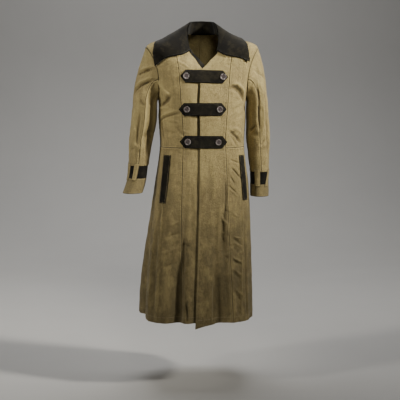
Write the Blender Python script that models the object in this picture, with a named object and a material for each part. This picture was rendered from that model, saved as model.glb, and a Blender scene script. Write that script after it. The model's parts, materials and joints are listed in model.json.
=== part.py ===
"""A calf-length twill coat with suede trim, as the panels that a tailor cuts and sews.

The coat keeps the hollow form of a worn garment. One smooth body form, read from a short
table of sections, carries every panel: a panel is the patch of that form between two seam
lines, given the thickness of its cloth. Sleeves, collar, tabs and welts follow the same form.
Units are metres. +X is the wearer's left, the front faces -Y, and +Z is up. The origin is on
the centre line between the shoulders.
"""

import math

import bmesh
import bpy
import numpy as np

# Driving dimensions
MM = 0.001
TWILL = 2.0 * MM
SUEDE = 3.0 * MM
SEAM_GAP = 0.3 * MM
NECK_LEVEL = 0.0
SHOULDER_TIP_LEVEL = 190.0
ARMPIT_LEVEL = 316.0
WAIST_LEVEL = 515.0
HEM_LEVEL = 1254.0
LEVEL_OF_ORIGIN = 40.0
ARMHOLE_FRONT_ANGLE = 21.0
ARMHOLE_BACK_ANGLE = 23.0
SIDE_ANGLE = 90.0

# Panel grids
FRONT_COLUMNS = 7
SIDE_COLUMNS = 6
ARMHOLE_STEPS = 7

# The front closing: the wearer's left front laps over the right one
LAP_SINK = 3.4 * MM
LAP_SINK_BEFORE_EDGE = 0.046
LAP_SINK_RISE = 0.034
UNDERLAP_EDGE = 0.020
TIP_DROP = 26.0

# Closing tabs and buttons
TAB_LENGTH = 0.197
TAB_HEIGHT = 0.053
TAB_POINT = 0.020
TAB_STATIONS = 9
TAB_ROWS = 4
TAB_TIP_SHARE = 0.06
TAB_LIFT = 1.3 * MM
BUTTON_RADIUS = 0.0135
BUTTON_THICKNESS = 0.0038
BUTTON_HOLE_RADIUS = 0.0012
BUTTON_HOLE_SPREAD = 0.0026
BUTTON_SIDES = 16
BUTTON_HOLES = 4
BUTTON_TURN = 0.3

# Pocket welts
WELT_LIFT = 1.0 * MM
WELT_ROWS = 6
WELT_COLUMNS = 3

# Collar
COLLAR_COLUMNS = 30
COLLAR_ROWS = 7
COLLAR_END_ANGLE = 35.0
COLLAR_BOW_SHARE = 0.3
COLLAR_BACK_SHARE = 0.8
STAND_BELOW_ROLL = 4.2 * MM
STAND_RISE = 1.0 * MM
COLLAR_LIFT = 6.0 * MM
COLLAR_LEAN = 0.22
COLLAR_FALL_POWER = {-1: 0.95, 1: 1.5}
COLLAR_BACK_POWER = 2.1
COLLAR_BOW = 0.6

# Body sections: level (mm down the side of the form), then mm; the last column is how square
# a section is (2 is an ellipse)
SECTIONS = (
    # level, half_width, front, back, z_front, z_side, z_back, y_mid, squareness
    (0, 62, 56, 62, -85, 4, 4, 6, 2.3),
    (50, 113, 87, 86, -112, -6, -18, 5, 2.3),
    (110, 174, 108, 106, -140, -22, -55, 4, 2.3),
    (165, 227, 119, 120, -168, -40, -95, 3, 2.3),
    (200, 241, 125, 128, -190, -62, -130, 2, 2.3),
    (240, 226, 130, 133, -217, -130, -178, 1, 2.3),
    (316, 188, 136, 137, -276, -276, -276, 0, 2.3),
    (390, 187, 134, 131, -350, -350, -350, 0, 2.3),
    (450, 183, 130, 123, -410, -410, -410, 0, 2.3),
    (515, 181, 128, 119, -475, -475, -475, 0, 2.3),
    (570, 187, 131, 126, -530, -530, -530, 0, 2.4),
    (670, 200, 139, 141, -630, -630, -630, 0, 2.5),
    (785, 207, 148, 157, -745, -745, -745, 0, 2.7),
    (910, 211, 157, 174, -870, -870, -870, 0, 2.9),
    (1080, 215, 170, 192, -1040, -1040, -1040, 0, 3.2),
    (1254, 217, 182, 208, -1214, -1214, -1214, 0, 3.5),
    (1290, 218, 184, 211, -1250, -1250, -1250, 0, 3.5),
)

# Skirt folds: where each one stands at the hem, in degrees from the front to the wearer's
# left, how wide it is, how far it stands out (or in, when negative) and where it starts
FOLDS = (
    # angle, half_angle, depth_mm, start_level, drift
    (-110, 34, 58, 560, 0),
    (-70, 48, 37, 560, 0),
    (-90, 9, -22, 600, 2),
    (-36, 10, -24, 760, 2),
    (-22, 8, 9, 800, 0),
    (18, 9, -14, 740, -2),
    (33, 8, 8, 800, 0),
    (62, 12, -9, 700, 0),
    (100, 14, 14, 720, 0),
    (128, 13, -16, 700, 0),
    (150, 12, 16, 720, 0),
    (176, 13, -14, 760, 0),
    (-158, 12, 14, 740, 0),
    (-137, 11, -12, 700, 0),
)

# Drag lines of the upper body: across and up the form, in degrees and levels
CREASES = (
    # angle, level, half_angle, half_level, depth_mm, slant
    (-62, 300, 13, 14, 5, 1.2),
    (-55, 345, 14, 12, -4, 1.0),
    (-52, 400, 14, 12, 4, 0.6),
    (-58, 455, 16, 14, -4, 0.3),
    (56, 330, 15, 15, 6, -1.6),
    (60, 385, 14, 14, -5, -1.4),
    (50, 440, 12, 13, 4, -0.8),
    (62, 480, 12, 12, -3, -0.4),
    (140, 330, 22, 16, 4, 0.6),
    (-140, 340, 22, 16, 4, -0.6),
    (155, 440, 20, 15, -5, 0.3),
    (-150, 455, 20, 15, -4, -0.3),
)

# Princess seam: level and distance from the centre line, and its start on the shoulder
PRINCESS_TOP = ((SIDE_ANGLE, 56.0), (67.0, 80.0), (51.5, 130.0))
PRINCESS_SEAM = (
    # level, x
    (150, 116),
    (240, 105),
    (340, 97),
    (480, 89),
    (600, 93),
    (800, 98),
    (1000, 105),
    (1290, 114),
)
UPPER_LEVELS = (100, 122, 155, 195, 238, 282, 326, 372, 420, 468, WAIST_LEVEL)
SKIRT_LEVELS = (WAIST_LEVEL, 560, 610, 665, 722, 780, 840, 900, 962, 1025, 1088, 1150, 1206, HEM_LEVEL)

# Inner edge of a front: the neckline, as angle and level, then the opening, as level and x
NECKLINE = ((SIDE_ANGLE, 0.0), (65.0, 18.0), (COLLAR_END_ANGLE, 56.0))
OPENINGS = (
    # level, x of the left front's edge, x of the right front's edge
    (60, 0.026, 0.034),
    (124, -0.009, 0.004),
    (190, -0.021, -0.018),
    (255, -0.026, -0.020),
    (320, -0.026, -0.020),
    (385, -0.024, -0.020),
    (450, -0.023, -0.020),
)
LAP_EDGE = ((515, -0.022), (800, -0.026), (1060, -0.036), (1290, -0.046))
BACK_NECK_ANGLES = (90.0, 120.0, 150.0, 180.0)
BACK_CENTRE_LEVELS = (70.0, 150.0, 228.0, 305.0, 380.0, 448.0, WAIST_LEVEL)

# Sleeves: z, distance of the middle from the centre line, half width, y of the middle,
# half depth, all in mm, from the biceps to the edge of the cuff
SLEEVE_RIGHT = (
    # z, x_mid, half_width, y_mid, half_depth
    (-300, 245.5, 52.5, 2, 72),
    (-370, 250.5, 55, 3, 68),
    (-448, 264, 51, 0, 62),
    (-500, 270, 47, -8, 57),
    (-553, 276, 43, -17, 52),
    (-606, 282, 41, -27, 50),
    (-640, 291, 42, -33, 52),
    (-670, 302, 43, -38, 54),
)
SLEEVE_LEFT = (
    # z, x_mid, half_width, y_mid, half_depth
    (-300, 237, 44.5, 2, 72),
    (-370, 239.5, 47, 3, 68),
    (-448, 243, 49.5, 1, 62),
    (-515, 246.5, 45.5, -6, 57),
    (-583, 248.5, 41, -15, 52),
    (-636, 248, 40, -24, 50),
    (-665, 247.5, 40, -29, 52),
    (-688, 247, 39.5, -33, 54),
)
BAND_TOP = {1: -0.583, -1: -0.553}
BAND_BOTTOM = {1: -0.636, -1: -0.606}
CUFF_EDGE = {1: -0.688, -1: -0.670}
SLEEVE_BODY_ROWS = 9
CAP_ROWS = 5
FRONT_SEAM_SHARE = 4 / 14
FRONT_SEAM_ANGLE = 88.0
BAND_COLUMNS = 24

# Sleeve folds: angle round the sleeve (0 outer, 90 front), z and sizes in mm
SLEEVE_FOLDS = (
    # angle, z, half_angle, half_z, depth, slant
    (70, -190, 45, 16, 5, 0.5),
    (60, -235, 50, 15, -4, 0.5),
    (95, -290, 50, 17, 4, 0.4),
    (120, -420, 50, 18, -4, 0.3),
    (70, -470, 55, 18, 4, -0.3),
    (250, -440, 60, 22, -5, 0.3),
    (280, -390, 60, 20, 4, -0.3),
)

# Wrist loops: angle at the top and at the bottom, and width, in degrees round the sleeve
LOOPS = {
    # name, top_angle, bottom_angle, width
    -1: (("outer", 30, 16, 30), ("front", 80, 70, 27), ("back", 262, 262, 30)),
    1: (("outer", 32, 56, 22), ("front", 112, 112, 34), ("back", 262, 262, 30)),
}
LOOP_OVERLAP = 0.010
LOOP_LIFT = 0.7 * MM
LOOP_THICKNESS = 2.0 * MM
LOOP_ROWS = 5
LOOP_COLUMNS = 3

# Tabs: height of the middle, the middle's x, and the tilt in degrees; the x of the buttons
TABS = (
    # name, z, x_mid, tilt, button_right, button_left
    ("top", -0.177, -0.002, -1.4, -0.077, 0.077),
    ("middle", -0.313, -0.008, 0.0, -0.074, 0.062),
    ("bottom", -0.450, -0.004, -0.8, -0.070, 0.057),
)

# Welts: z and |x| of the inner edge, and the width, at the top and at the bottom
WELTS = {
    # z, x, width
    -1: ((-0.507, 0.140, 0.038), (-0.710, 0.160, 0.031)),
    1: ((-0.509, 0.149, 0.036), (-0.700, 0.165, 0.031)),
}

# Collar shape by share of the way round from one end to the middle of the back: height of
# the roll line above the neckline in mm, and where the outer edge lies on the form
COLLAR_SHAPE = (
    # share, roll_height, right_angle, right_level, left_angle, left_level
    (0.00, 12, 71, 236, 65, 221),
    (0.08, 26, 71, 212, 66, 197),
    (0.20, 42, 73, 172, 69, 158),
    (0.34, 50, 87, 115, 82, 111),
    (0.52, 53, 108, 106, 106, 104),
    (0.75, 56, 142, 111, 142, 111),
    (1.00, 58, 180, 117, 180, 117),
)

# Finishes: colour, roughness, metallic
FINISHES = {
    "twill": ((0.34, 0.26, 0.14, 1.0), 0.8, 0.0),
    "suede": ((0.035, 0.028, 0.018, 1.0), 0.95, 0.0),
    "button": ((0.25, 0.22, 0.19, 1.0), 0.35, 0.0),
}


def read(table, key, columns=slice(1, None)):
    """The row of a table at a value of its first column, on a smooth curve through the rows."""
    rows = np.array(table, float)
    keys, values = rows[:, 0], rows[:, columns]
    if keys[0] > keys[-1]:
        keys, values = keys[::-1], values[::-1]
    key = min(max(key, keys[0]), keys[-1])
    slopes = np.gradient(values, keys, axis=0)
    i = min(int(np.searchsorted(keys, key, side="right")) - 1, len(keys) - 2)
    span = keys[i + 1] - keys[i]
    t = (key - keys[i]) / span
    a, b = 2 * t**3 - 3 * t**2 + 1, t**3 - 2 * t**2 + t
    c, d = 3 * t**2 - 2 * t**3, t**3 - t**2
    return a * values[i] + b * span * slopes[i] + c * values[i + 1] + d * span * slopes[i + 1]


def ease(value):
    """0 below 0, 1 above 1, and a smooth rise between."""
    value = min(max(value, 0.0), 1.0)
    return value * value * (3 - 2 * value)


def hump(distance):
    """1 at 0, and smoothly 0 from 1 outwards."""
    return math.cos(min(abs(distance), 1.0) * math.pi / 2) ** 2


def turned(angle):
    """An angle in degrees brought to between -180 and 180."""
    return (angle + 180) % 360 - 180


def unit(vectors):
    return vectors / np.linalg.norm(vectors, axis=-1, keepdims=True)


def fold_height(angle, level):
    """How far folds and creases move the cloth out at a point of the form."""
    height = 0.0
    for fold_angle, half_angle, depth, start, drift in FOLDS:
        growth = ease((level - start) / (HEM_LEVEL - start)) if level > start else 0.0
        near = turned(angle - fold_angle - drift * (1 - growth)) / half_angle
        height += depth * MM * growth * hump(near)
    for crease_angle, crease_level, half_angle, half_level, depth, slant in CREASES:
        across = turned(angle - crease_angle)
        along = (level - crease_level - slant * across) / half_level
        height += depth * MM * hump(across / half_angle) * hump(along)
    return height


def plain_radius(angle, level):
    """Distance of the unfolded form from its upright axis, at an angle in degrees."""
    row = read(SECTIONS, level)
    half_width, front, back = row[:3] * MM
    s, c = math.sin(math.radians(angle)), math.cos(math.radians(angle))
    depth = front if c > 0 else back
    power = row[7]
    return (abs(s / half_width) ** power + abs(c / depth) ** power) ** (-1 / power)


def body_point(angle, level):
    """The outer face of the cloth at an angle from the front and a level down the form."""
    z_front, z_side, z_back, y_mid = read(SECTIONS, level)[3:7] * MM
    s, c = math.sin(math.radians(angle)), math.cos(math.radians(angle))
    radius = plain_radius(angle, level) + fold_height(angle, level)
    z = z_side * s * s + (z_front if c > 0 else z_back) * c * c
    return np.array((radius * s, y_mid - radius * c, z))


def body_normal(angle, level):
    """The outward direction of the cloth there."""
    turn, drop = 0.8, 4.0
    across = body_point(angle + turn, level) - body_point(angle - turn, level)
    down = body_point(angle, level + drop) - body_point(angle, max(level - drop, 0.0))
    return unit(np.cross(across, -down))


def angle_at(x, level):
    """The front angle where the unfolded form is x from the centre line."""
    low, high = -88.0, 88.0
    for _ in range(40):
        middle = (low + high) / 2
        if plain_radius(middle, level) * math.sin(math.radians(middle)) < x:
            low = middle
        else:
            high = middle
    return (low + high) / 2


def place_on_front(x, z):
    """Angle and level of the front point that a viewer sees at x and z."""
    angle, level = 20.0 * x / abs(x) if x else 0.0, LEVEL_OF_ORIGIN - z / MM
    for _ in range(30):
        here = body_point(angle, level)
        by_angle = (body_point(angle + 0.5, level) - here) / 0.5
        by_level = (body_point(angle, level + 1.0) - here) / 1.0
        matrix = np.array(((by_angle[0], by_level[0]), (by_angle[2], by_level[2])))
        step = np.linalg.solve(matrix, (x - here[0], z - here[2]))
        angle += float(np.clip(step[0], -8, 8))
        level += float(np.clip(step[1], -30, 30))
    return angle, level


def ruled(first, second, shares):
    """Rows of (angle, level) between two seam lines, each a list of (angle, level)."""
    first, second = np.array(first, float), np.array(second, float)
    shares = np.asarray(shares, float)
    if shares.ndim == 1:
        shares = np.tile(shares, (len(first), 1))
    return first[:, None] + (second - first)[:, None] * shares[:, :, None]


def on_body(places, sink=None):
    """Points and outward directions of the form at a grid of places."""
    points = np.empty(places.shape[:2] + (3,))
    normals = np.empty_like(points)
    for i, row in enumerate(places):
        for j, (angle, level) in enumerate(row):
            normals[i, j] = body_normal(angle, level)
            points[i, j] = body_point(angle, level)
            if sink:
                points[i, j] -= normals[i, j] * sink(points[i, j][0], level)
    return points, normals


def trimmed(points, sides):
    """The grid with its seam edges drawn back by half a seam gap."""
    points = points.copy()
    edges = {
        "top": ((0, slice(None)), (1, slice(None))),
        "bottom": ((-1, slice(None)), (-2, slice(None))),
        "first": ((slice(None), 0), (slice(None), 1)),
        "last": ((slice(None), -1), (slice(None), -2)),
    }
    for side in sides:
        edge, inside = edges[side]
        points[edge] += unit(points[inside] - points[edge]) * SEAM_GAP / 2
    return points


def link(obj, finish):
    """Puts an object in the scene with its own material."""
    colour, roughness, metallic = FINISHES[finish]
    material = bpy.data.materials.new(obj.name)
    material.use_nodes = True
    shader = material.node_tree.nodes["Principled BSDF"]
    shader.inputs["Base Color"].default_value = colour
    shader.inputs["Roughness"].default_value = roughness
    shader.inputs["Metallic"].default_value = metallic
    obj.data.materials.clear()
    obj.data.materials.append(material)
    bpy.context.scene.collection.objects.link(obj)
    return obj


def wall(name, outer, normals, thickness, finish, closed=False):
    """A sheet of cloth: the outer grid, the same grid moved in, and a rim between them."""
    rows, columns = outer.shape[:2]
    inner = outer - normals * thickness
    shape = bmesh.new()
    layers = []
    for grid in (outer, inner):
        layers.append([[shape.verts.new(p) for p in row] for row in grid])
    over, under = layers
    last = columns if closed else columns - 1
    for i in range(rows - 1):
        for j in range(last):
            k = (j + 1) % columns
            shape.faces.new((over[i][j], over[i][k], over[i + 1][k], over[i + 1][j]))
            shape.faces.new((under[i][j], under[i + 1][j], under[i + 1][k], under[i][k]))
    for j in range(last):
        k = (j + 1) % columns
        shape.faces.new((over[0][k], over[0][j], under[0][j], under[0][k]))
        shape.faces.new((over[-1][j], over[-1][k], under[-1][k], under[-1][j]))
    if not closed:
        for i in range(rows - 1):
            shape.faces.new((over[i][0], over[i + 1][0], under[i + 1][0], under[i][0]))
            shape.faces.new((over[i + 1][-1], over[i][-1], under[i][-1], under[i + 1][-1]))
    bmesh.ops.recalc_face_normals(shape, faces=shape.faces)
    mesh = bpy.data.meshes.new(name)
    shape.to_mesh(mesh)
    shape.free()
    mesh.shade_smooth()
    mesh.set_sharp_from_angle(angle=math.radians(50))
    return link(bpy.data.objects.new(name, mesh), finish)


def mirrored(places, side):
    """Places on the wearer's left, turned to the right when side is -1."""
    return places * np.array((side, 1.0))


def princess_line(levels, top=()):
    """The seam down the front, as (angle, level): its start on the shoulder, then by x."""
    line = list(top)
    for level in levels[len(top):]:
        x = float(read(PRINCESS_SEAM, level)[0]) * MM
        line.append((angle_at(x, level), level))
    return line


def armhole(step, reach):
    """A point of the armhole, from the shoulder tip (0) to the armpit (1)."""
    angle = SIDE_ANGLE - reach * math.sin(math.pi * step)
    share = (1 - math.cos(math.pi * step)) / 2
    return angle, SHOULDER_TIP_LEVEL + (ARMPIT_LEVEL - SHOULDER_TIP_LEVEL) * share


def side_line(reach):
    """The outer edge of an upper panel: its half of the armhole, then the side seam."""
    line = [armhole(step / ARMHOLE_STEPS, reach) for step in range(ARMHOLE_STEPS + 1)]
    below = len(UPPER_LEVELS) - len(line)
    for step in range(1, below + 1):
        line.append((SIDE_ANGLE, ARMPIT_LEVEL + (WAIST_LEVEL - ARMPIT_LEVEL) * step / below))
    return line


def opening_line(side):
    """The inner edge of a front, from the shoulder round the neck and down the opening."""
    line = list(NECKLINE)
    for level, left_x, right_x in OPENINGS:
        line.append((angle_at(left_x if side > 0 else right_x, level), level))
    line.append((angle_at(opening_x(WAIST_LEVEL, side), WAIST_LEVEL), WAIST_LEVEL))
    return line


def opening_x(level, side):
    """Distance from the centre line to a front's free edge, towards its own side."""
    return float(read(LAP_EDGE, level)[0]) if side > 0 else -UNDERLAP_EDGE


def skirt_line(side):
    """The free edge of a front below the waist; the lapping front drops to a tip."""
    line = []
    for level in SKIRT_LEVELS[1:]:
        angle = angle_at(opening_x(level, side), level)
        drop = TIP_DROP * ease((level - WAIST_LEVEL) / (HEM_LEVEL - WAIST_LEVEL))
        line.append((angle, level + drop if side > 0 else level))
    return line


def lap_sink(side):
    """How deep the under front lies below the lapping one, by x and level."""
    if side > 0:
        return None

    def depth(x, level):
        start = float(read(LAP_EDGE, level)[0]) - LAP_SINK_BEFORE_EDGE
        return LAP_SINK * ease((x - start) / LAP_SINK_RISE)

    return depth


def make_centre_front(side, word):
    first = opening_line(side) + skirt_line(side)
    second = princess_line(UPPER_LEVELS, PRINCESS_TOP) + princess_line(SKIRT_LEVELS)[1:]
    places = ruled(first, second, np.linspace(0, 1, FRONT_COLUMNS + 1))
    if side > 0:
        spread = np.linspace(1, 0, FRONT_COLUMNS + 1) ** 2
        flat = places[-1, :, 1]
        places[-1, :, 1] = HEM_LEVEL + (flat[0] - HEM_LEVEL) * spread
    points, normals = on_body(mirrored(places, side), lap_sink(side))
    points = trimmed(points, ("top", "last"))
    wall(f"centre_front_{word}", points, normals, TWILL, "twill")


def make_side_front(side, word):
    shares = np.linspace(0, 1, SIDE_COLUMNS + 1)
    upper = ruled(princess_line(UPPER_LEVELS, PRINCESS_TOP), side_line(ARMHOLE_FRONT_ANGLE), shares)
    points, normals = on_body(mirrored(upper, side))
    points = trimmed(points, ("top", "bottom", "first", "last"))
    wall(f"side_front_upper_{word}", points, normals, TWILL, "twill")
    side_seam = [(SIDE_ANGLE, level) for level in SKIRT_LEVELS]
    skirt = ruled(princess_line(SKIRT_LEVELS), side_seam, shares)
    points, normals = on_body(mirrored(skirt, side))
    points = trimmed(points, ("top", "first", "last"))
    wall(f"side_front_skirt_{word}", points, normals, TWILL, "twill")


def back_shares():
    """Where a back's columns stand, from the middle out. On the shoulder they meet the fronts'."""
    front = np.linspace(0, PRINCESS_TOP[0][1], FRONT_COLUMNS + 1)
    side = np.linspace(PRINCESS_TOP[0][1], SHOULDER_TIP_LEVEL, SIDE_COLUMNS + 1)[1:]
    shoulder = np.concatenate((front, side)) / SHOULDER_TIP_LEVEL
    even = np.linspace(0, 1, len(shoulder))
    rows = len(UPPER_LEVELS)
    blend = np.array([ease(i / 3) for i in range(rows)])[:, None]
    return shoulder * (1 - blend) + even * blend


def make_back(side, word):
    middle = [(angle, NECK_LEVEL) for angle in BACK_NECK_ANGLES]
    middle += [(180.0, level) for level in BACK_CENTRE_LEVELS]
    upper = ruled(middle, side_line(-ARMHOLE_BACK_ANGLE), back_shares())
    points, normals = on_body(mirrored(upper, side))
    points = trimmed(points, ("top", "bottom", "first", "last"))
    wall(f"back_upper_{word}", points, normals, TWILL, "twill")
    centre = [(180.0, level) for level in SKIRT_LEVELS]
    side_seam = [(SIDE_ANGLE, level) for level in SKIRT_LEVELS]
    skirt = ruled(centre, side_seam, back_shares()[-1])
    points, normals = on_body(mirrored(skirt, side))
    points = trimmed(points, ("top", "first", "last"))
    wall(f"back_skirt_{word}", points, normals, TWILL, "twill")


def sleeve_table(side):
    return SLEEVE_LEFT if side > 0 else SLEEVE_RIGHT


def sleeve_point(side, angle, z):
    """The sleeve below the cap, at an angle from its outer side towards the front."""
    x_mid, half_width, y_mid, half_depth = read(sleeve_table(side), z / MM) * MM
    a = math.radians(angle)
    swell = 0.0
    for fold_angle, fold_z, half_angle, half_z, depth, slant in SLEEVE_FOLDS:
        across = turned(angle - fold_angle)
        along = (z / MM - fold_z - slant * across) / half_z
        swell += depth * MM * hump(across / half_angle) * hump(along)
    x = x_mid + (half_width + swell) * math.cos(a)
    y = y_mid - (half_depth + swell) * math.sin(a)
    return np.array((side * x, y, z))


def armhole_ring(side):
    """Points of the armhole edge, with the direction in which the sleeve leaves each."""
    front = [armhole(step / ARMHOLE_STEPS, ARMHOLE_FRONT_ANGLE) for step in range(ARMHOLE_STEPS + 1)]
    back = [armhole(step / ARMHOLE_STEPS, -ARMHOLE_BACK_ANGLE) for step in range(ARMHOLE_STEPS)]
    places = front + back[:0:-1]
    points = np.array([body_point(side * angle, level) for angle, level in places])
    normals = np.array([body_normal(side * angle, level) for angle, level in places])
    along = unit(np.roll(points, -1, axis=0) - np.roll(points, 1, axis=0))
    inward = unit(np.cross(normals, along))
    towards = points.mean(axis=0) - points
    inward *= np.sign((inward * towards).sum(axis=1))[:, None]
    count = len(points)
    lean = np.array([ease(2 * min(k, count - k) / count * 1.5 - 0.5) for k in range(count)])
    tilt = (lean * math.pi / 2)[:, None]
    return points, inward * np.cos(tilt) + normals * np.sin(tilt)


def sleeve_turn(share):
    """Where a share of the armhole's way round stands on the sleeve: the seams at front and back."""
    shares = (0.0, FRONT_SEAM_SHARE, 0.5, 1 - FRONT_SEAM_SHARE, 1.0)
    turns = (0.0, FRONT_SEAM_ANGLE, 180.0, 360 - FRONT_SEAM_ANGLE, 360.0)
    return float(np.interp(share, shares, turns))


def sleeve_grid(side):
    """Rings of a whole sleeve from the armhole to the top of the wrist band."""
    ring, leave = armhole_ring(side)
    count = len(ring)
    angles = [sleeve_turn(k / count) for k in range(count)]
    top = sleeve_table(side)[0][0] * MM
    biceps = np.array([sleeve_point(side, angle, top) for angle in angles])
    down = np.array((0.0, 0.0, -1.0))
    span = np.linalg.norm(biceps - ring, axis=1, keepdims=True)
    rings = []
    for step in range(CAP_ROWS):
        t = step / CAP_ROWS
        a, b = 2 * t**3 - 3 * t**2 + 1, t**3 - 2 * t**2 + t
        c, d = 3 * t**2 - 2 * t**3, t**3 - t**2
        rings.append(a * ring + b * span * leave + c * biceps + d * span * down)
    rings[0] = rings[0] + leave * SEAM_GAP
    for step in range(SLEEVE_BODY_ROWS + 1):
        z = top + (BAND_TOP[side] - top) * step / SLEEVE_BODY_ROWS
        rings.append(np.array([sleeve_point(side, angle, z) for angle in angles]))
    return np.array(rings)


def ring_normals(rings):
    """Outward directions on a stack of closed rings."""
    around = np.roll(rings, -1, axis=1) - np.roll(rings, 1, axis=1)
    down = np.gradient(rings, axis=0)
    normals = unit(np.cross(around, down))
    outward = rings - rings.mean(axis=1, keepdims=True)
    return normals * np.sign((normals * outward).sum(axis=2, keepdims=True))


def make_sleeve(side, word):
    rings = sleeve_grid(side)
    normals = ring_normals(rings)
    count = rings.shape[1]
    front_seam = round(count * FRONT_SEAM_SHARE)
    back_seam = count - front_seam
    halves = {
        "under_sleeve": list(range(front_seam, back_seam + 1)),
        "upper_sleeve": [k % count for k in range(back_seam, count + front_seam + 1)],
    }
    for name, columns in halves.items():
        points = trimmed(rings[:, columns], ("bottom", "first", "last"))
        wall(f"{name}_{word}", points, normals[:, columns], TWILL, "twill")


def wrist_tube(name, side, top, bottom, rows, thickness, finish):
    """A closed ring of the sleeve's form between two heights."""
    heights = np.linspace(top, bottom, rows + 1)
    turns = [360 * k / BAND_COLUMNS for k in range(BAND_COLUMNS)]
    rings = np.array([[sleeve_point(side, angle, z) for angle in turns] for z in heights])
    wall(name, rings, ring_normals(rings), thickness, finish, closed=True)


def make_wrist(side, word):
    half_gap = SEAM_GAP / 2
    top, bottom = BAND_TOP[side] - SEAM_GAP, BAND_BOTTOM[side] + half_gap
    wrist_tube(f"wrist_band_{word}", side, top, bottom, 2, TWILL, "suede")
    cuff_top = BAND_BOTTOM[side] - half_gap
    wrist_tube(f"cuff_{word}", side, cuff_top, CUFF_EDGE[side], 3, SUEDE, "twill")
    for name, top_angle, bottom_angle, width in LOOPS[side]:
        make_loop(f"wrist_loop_{name}_{word}", side, top_angle, bottom_angle, width)


def make_loop(name, side, top_angle, bottom_angle, width):
    """A strip of cloth over the wrist band, from the sleeve to the cuff."""
    top, bottom = BAND_TOP[side] + LOOP_OVERLAP, BAND_BOTTOM[side] - LOOP_OVERLAP
    heights = np.linspace(top, bottom, LOOP_ROWS + 1)
    middles = np.linspace(top_angle, bottom_angle, LOOP_ROWS + 1)
    points = np.empty((LOOP_ROWS + 1, LOOP_COLUMNS + 1, 3))
    normals = np.empty_like(points)
    for i, (z, middle) in enumerate(zip(heights, middles)):
        for j in range(LOOP_COLUMNS + 1):
            angle = middle + width * (j / LOOP_COLUMNS - 0.5)
            here = sleeve_point(side, angle, z)
            around = sleeve_point(side, angle + 2, z) - sleeve_point(side, angle - 2, z)
            down = sleeve_point(side, angle, z - 4 * MM) - sleeve_point(side, angle, z + 4 * MM)
            out = unit(np.cross(around, down)) * side
            normals[i, j] = out
            points[i, j] = here + out * (LOOP_LIFT + LOOP_THICKNESS)
    wall(name, points, normals, LOOP_THICKNESS, "twill")


def collar_shape(share, side):
    """Angle and level on the neckline, roll height, and the outer edge, from an end (0) to the back (1)."""
    angle = COLLAR_END_ANGLE + (180 - COLLAR_END_ANGLE) * share
    neck_rows = [(row[0], row[1]) for row in NECKLINE] + [(130.0, 0.0), (180.0, 0.0)]
    neck_rows.sort()
    level = max(float(read(neck_rows, angle)[0]), 0.0)
    height, *edges = read(COLLAR_SHAPE, share)
    return angle, level, height * MM, edges[2:] if side > 0 else edges[:2]


def collar_columns():
    """Shares of the way to the back and the side, for each column from end to end."""
    for j in range(COLLAR_COLUMNS + 1):
        s = j / COLLAR_COLUMNS * 2 - 1
        yield 1 - abs(s), (-1 if s < 0 else 1)


def make_collar_stand():
    rows = 3
    up = np.array((0.0, 0.0, 1.0))
    points = np.empty((rows + 1, COLLAR_COLUMNS + 1, 3))
    normals = np.empty_like(points)
    for j, (share, side) in enumerate(collar_columns()):
        angle, level, height, _ = collar_shape(share, side)
        base = body_point(side * angle, level)
        out = unit(np.array((base[0], base[1], 0.0)))
        base = base - out * (TWILL + MM) + up * STAND_RISE
        for i in range(rows + 1):
            rise = max(height - STAND_BELOW_ROLL, 0.0) * (1 - i / rows)
            points[i, j] = base + up * rise - out * COLLAR_LEAN * rise
            normals[i, j] = out
    wall("collar_stand", points, normals, TWILL, "suede")


def make_collar_fall():
    up = np.array((0.0, 0.0, 1.0))
    points = np.empty((COLLAR_ROWS + 1, COLLAR_COLUMNS + 1, 3))
    for j, (share, side) in enumerate(collar_columns()):
        angle, level, height, (edge_angle, edge_level) = collar_shape(share, side)
        base = body_point(side * angle, level)
        inward = unit(np.array((-base[0], -base[1], 0.0))) * COLLAR_LEAN * height
        bow = COLLAR_BOW * (1 - ease(share / COLLAR_BOW_SHARE))
        power = COLLAR_FALL_POWER[side]
        power += (COLLAR_BACK_POWER - power) * ease(share / COLLAR_BACK_SHARE)
        for i in range(COLLAR_ROWS + 1):
            t = i / COLLAR_ROWS
            turn = t + (1 - math.cos(math.pi * t / 2) - t) * bow
            drop = t + (math.sin(math.pi * t / 2) - t) * bow
            here = side * (angle + (edge_angle - angle) * turn), level + (edge_level - level) * drop
            lift = COLLAR_LIFT + max(height - COLLAR_LIFT, 0.0) * (1 - t) ** power
            rise = unit(up * (1 - t) + body_normal(*here) * t)
            points[i, j] = body_point(*here) + rise * lift + inward * (1 - t) ** 2
    across = np.gradient(points, axis=1)
    down = np.gradient(points, axis=0)
    normals = unit(np.cross(across, down))
    normals *= np.sign(normals[..., 2:3].mean())
    wall("collar_fall", points, normals, SUEDE, "suede")


def tab_place(tab, along, up):
    """A point of a tab in its own plane, as x and z of the coat."""
    _, z, x_mid, tilt, _, _ = tab
    a = math.radians(tilt)
    return x_mid + along * math.cos(a) - up * math.sin(a), z + along * math.sin(a) + up * math.cos(a)


def on_front(x, z, lift):
    """A point above the front, with the outward direction there."""
    angle, level = place_on_front(x, z)
    out = body_normal(angle, level)
    return body_point(angle, level) + out * lift, out


def make_tab(tab):
    """A suede tab across the opening, with a point at each end."""
    half = TAB_LENGTH / 2
    straight = np.linspace(-half + TAB_POINT, half - TAB_POINT, TAB_STATIONS)
    stations = (-half, *straight, half)
    points = np.empty((TAB_ROWS + 1, len(stations), 3))
    normals = np.empty_like(points)
    for j, along in enumerate(stations):
        end = abs(along) == half
        half_height = TAB_HEIGHT * (TAB_TIP_SHARE if end else 0.5)
        for i in range(TAB_ROWS + 1):
            x, z = tab_place(tab, along, half_height * (1 - 2 * i / TAB_ROWS))
            points[i, j], normals[i, j] = on_front(x, z, TAB_LIFT + SUEDE)
    wall(f"tab_{tab[0]}", points, normals, SUEDE, "suede")


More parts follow.
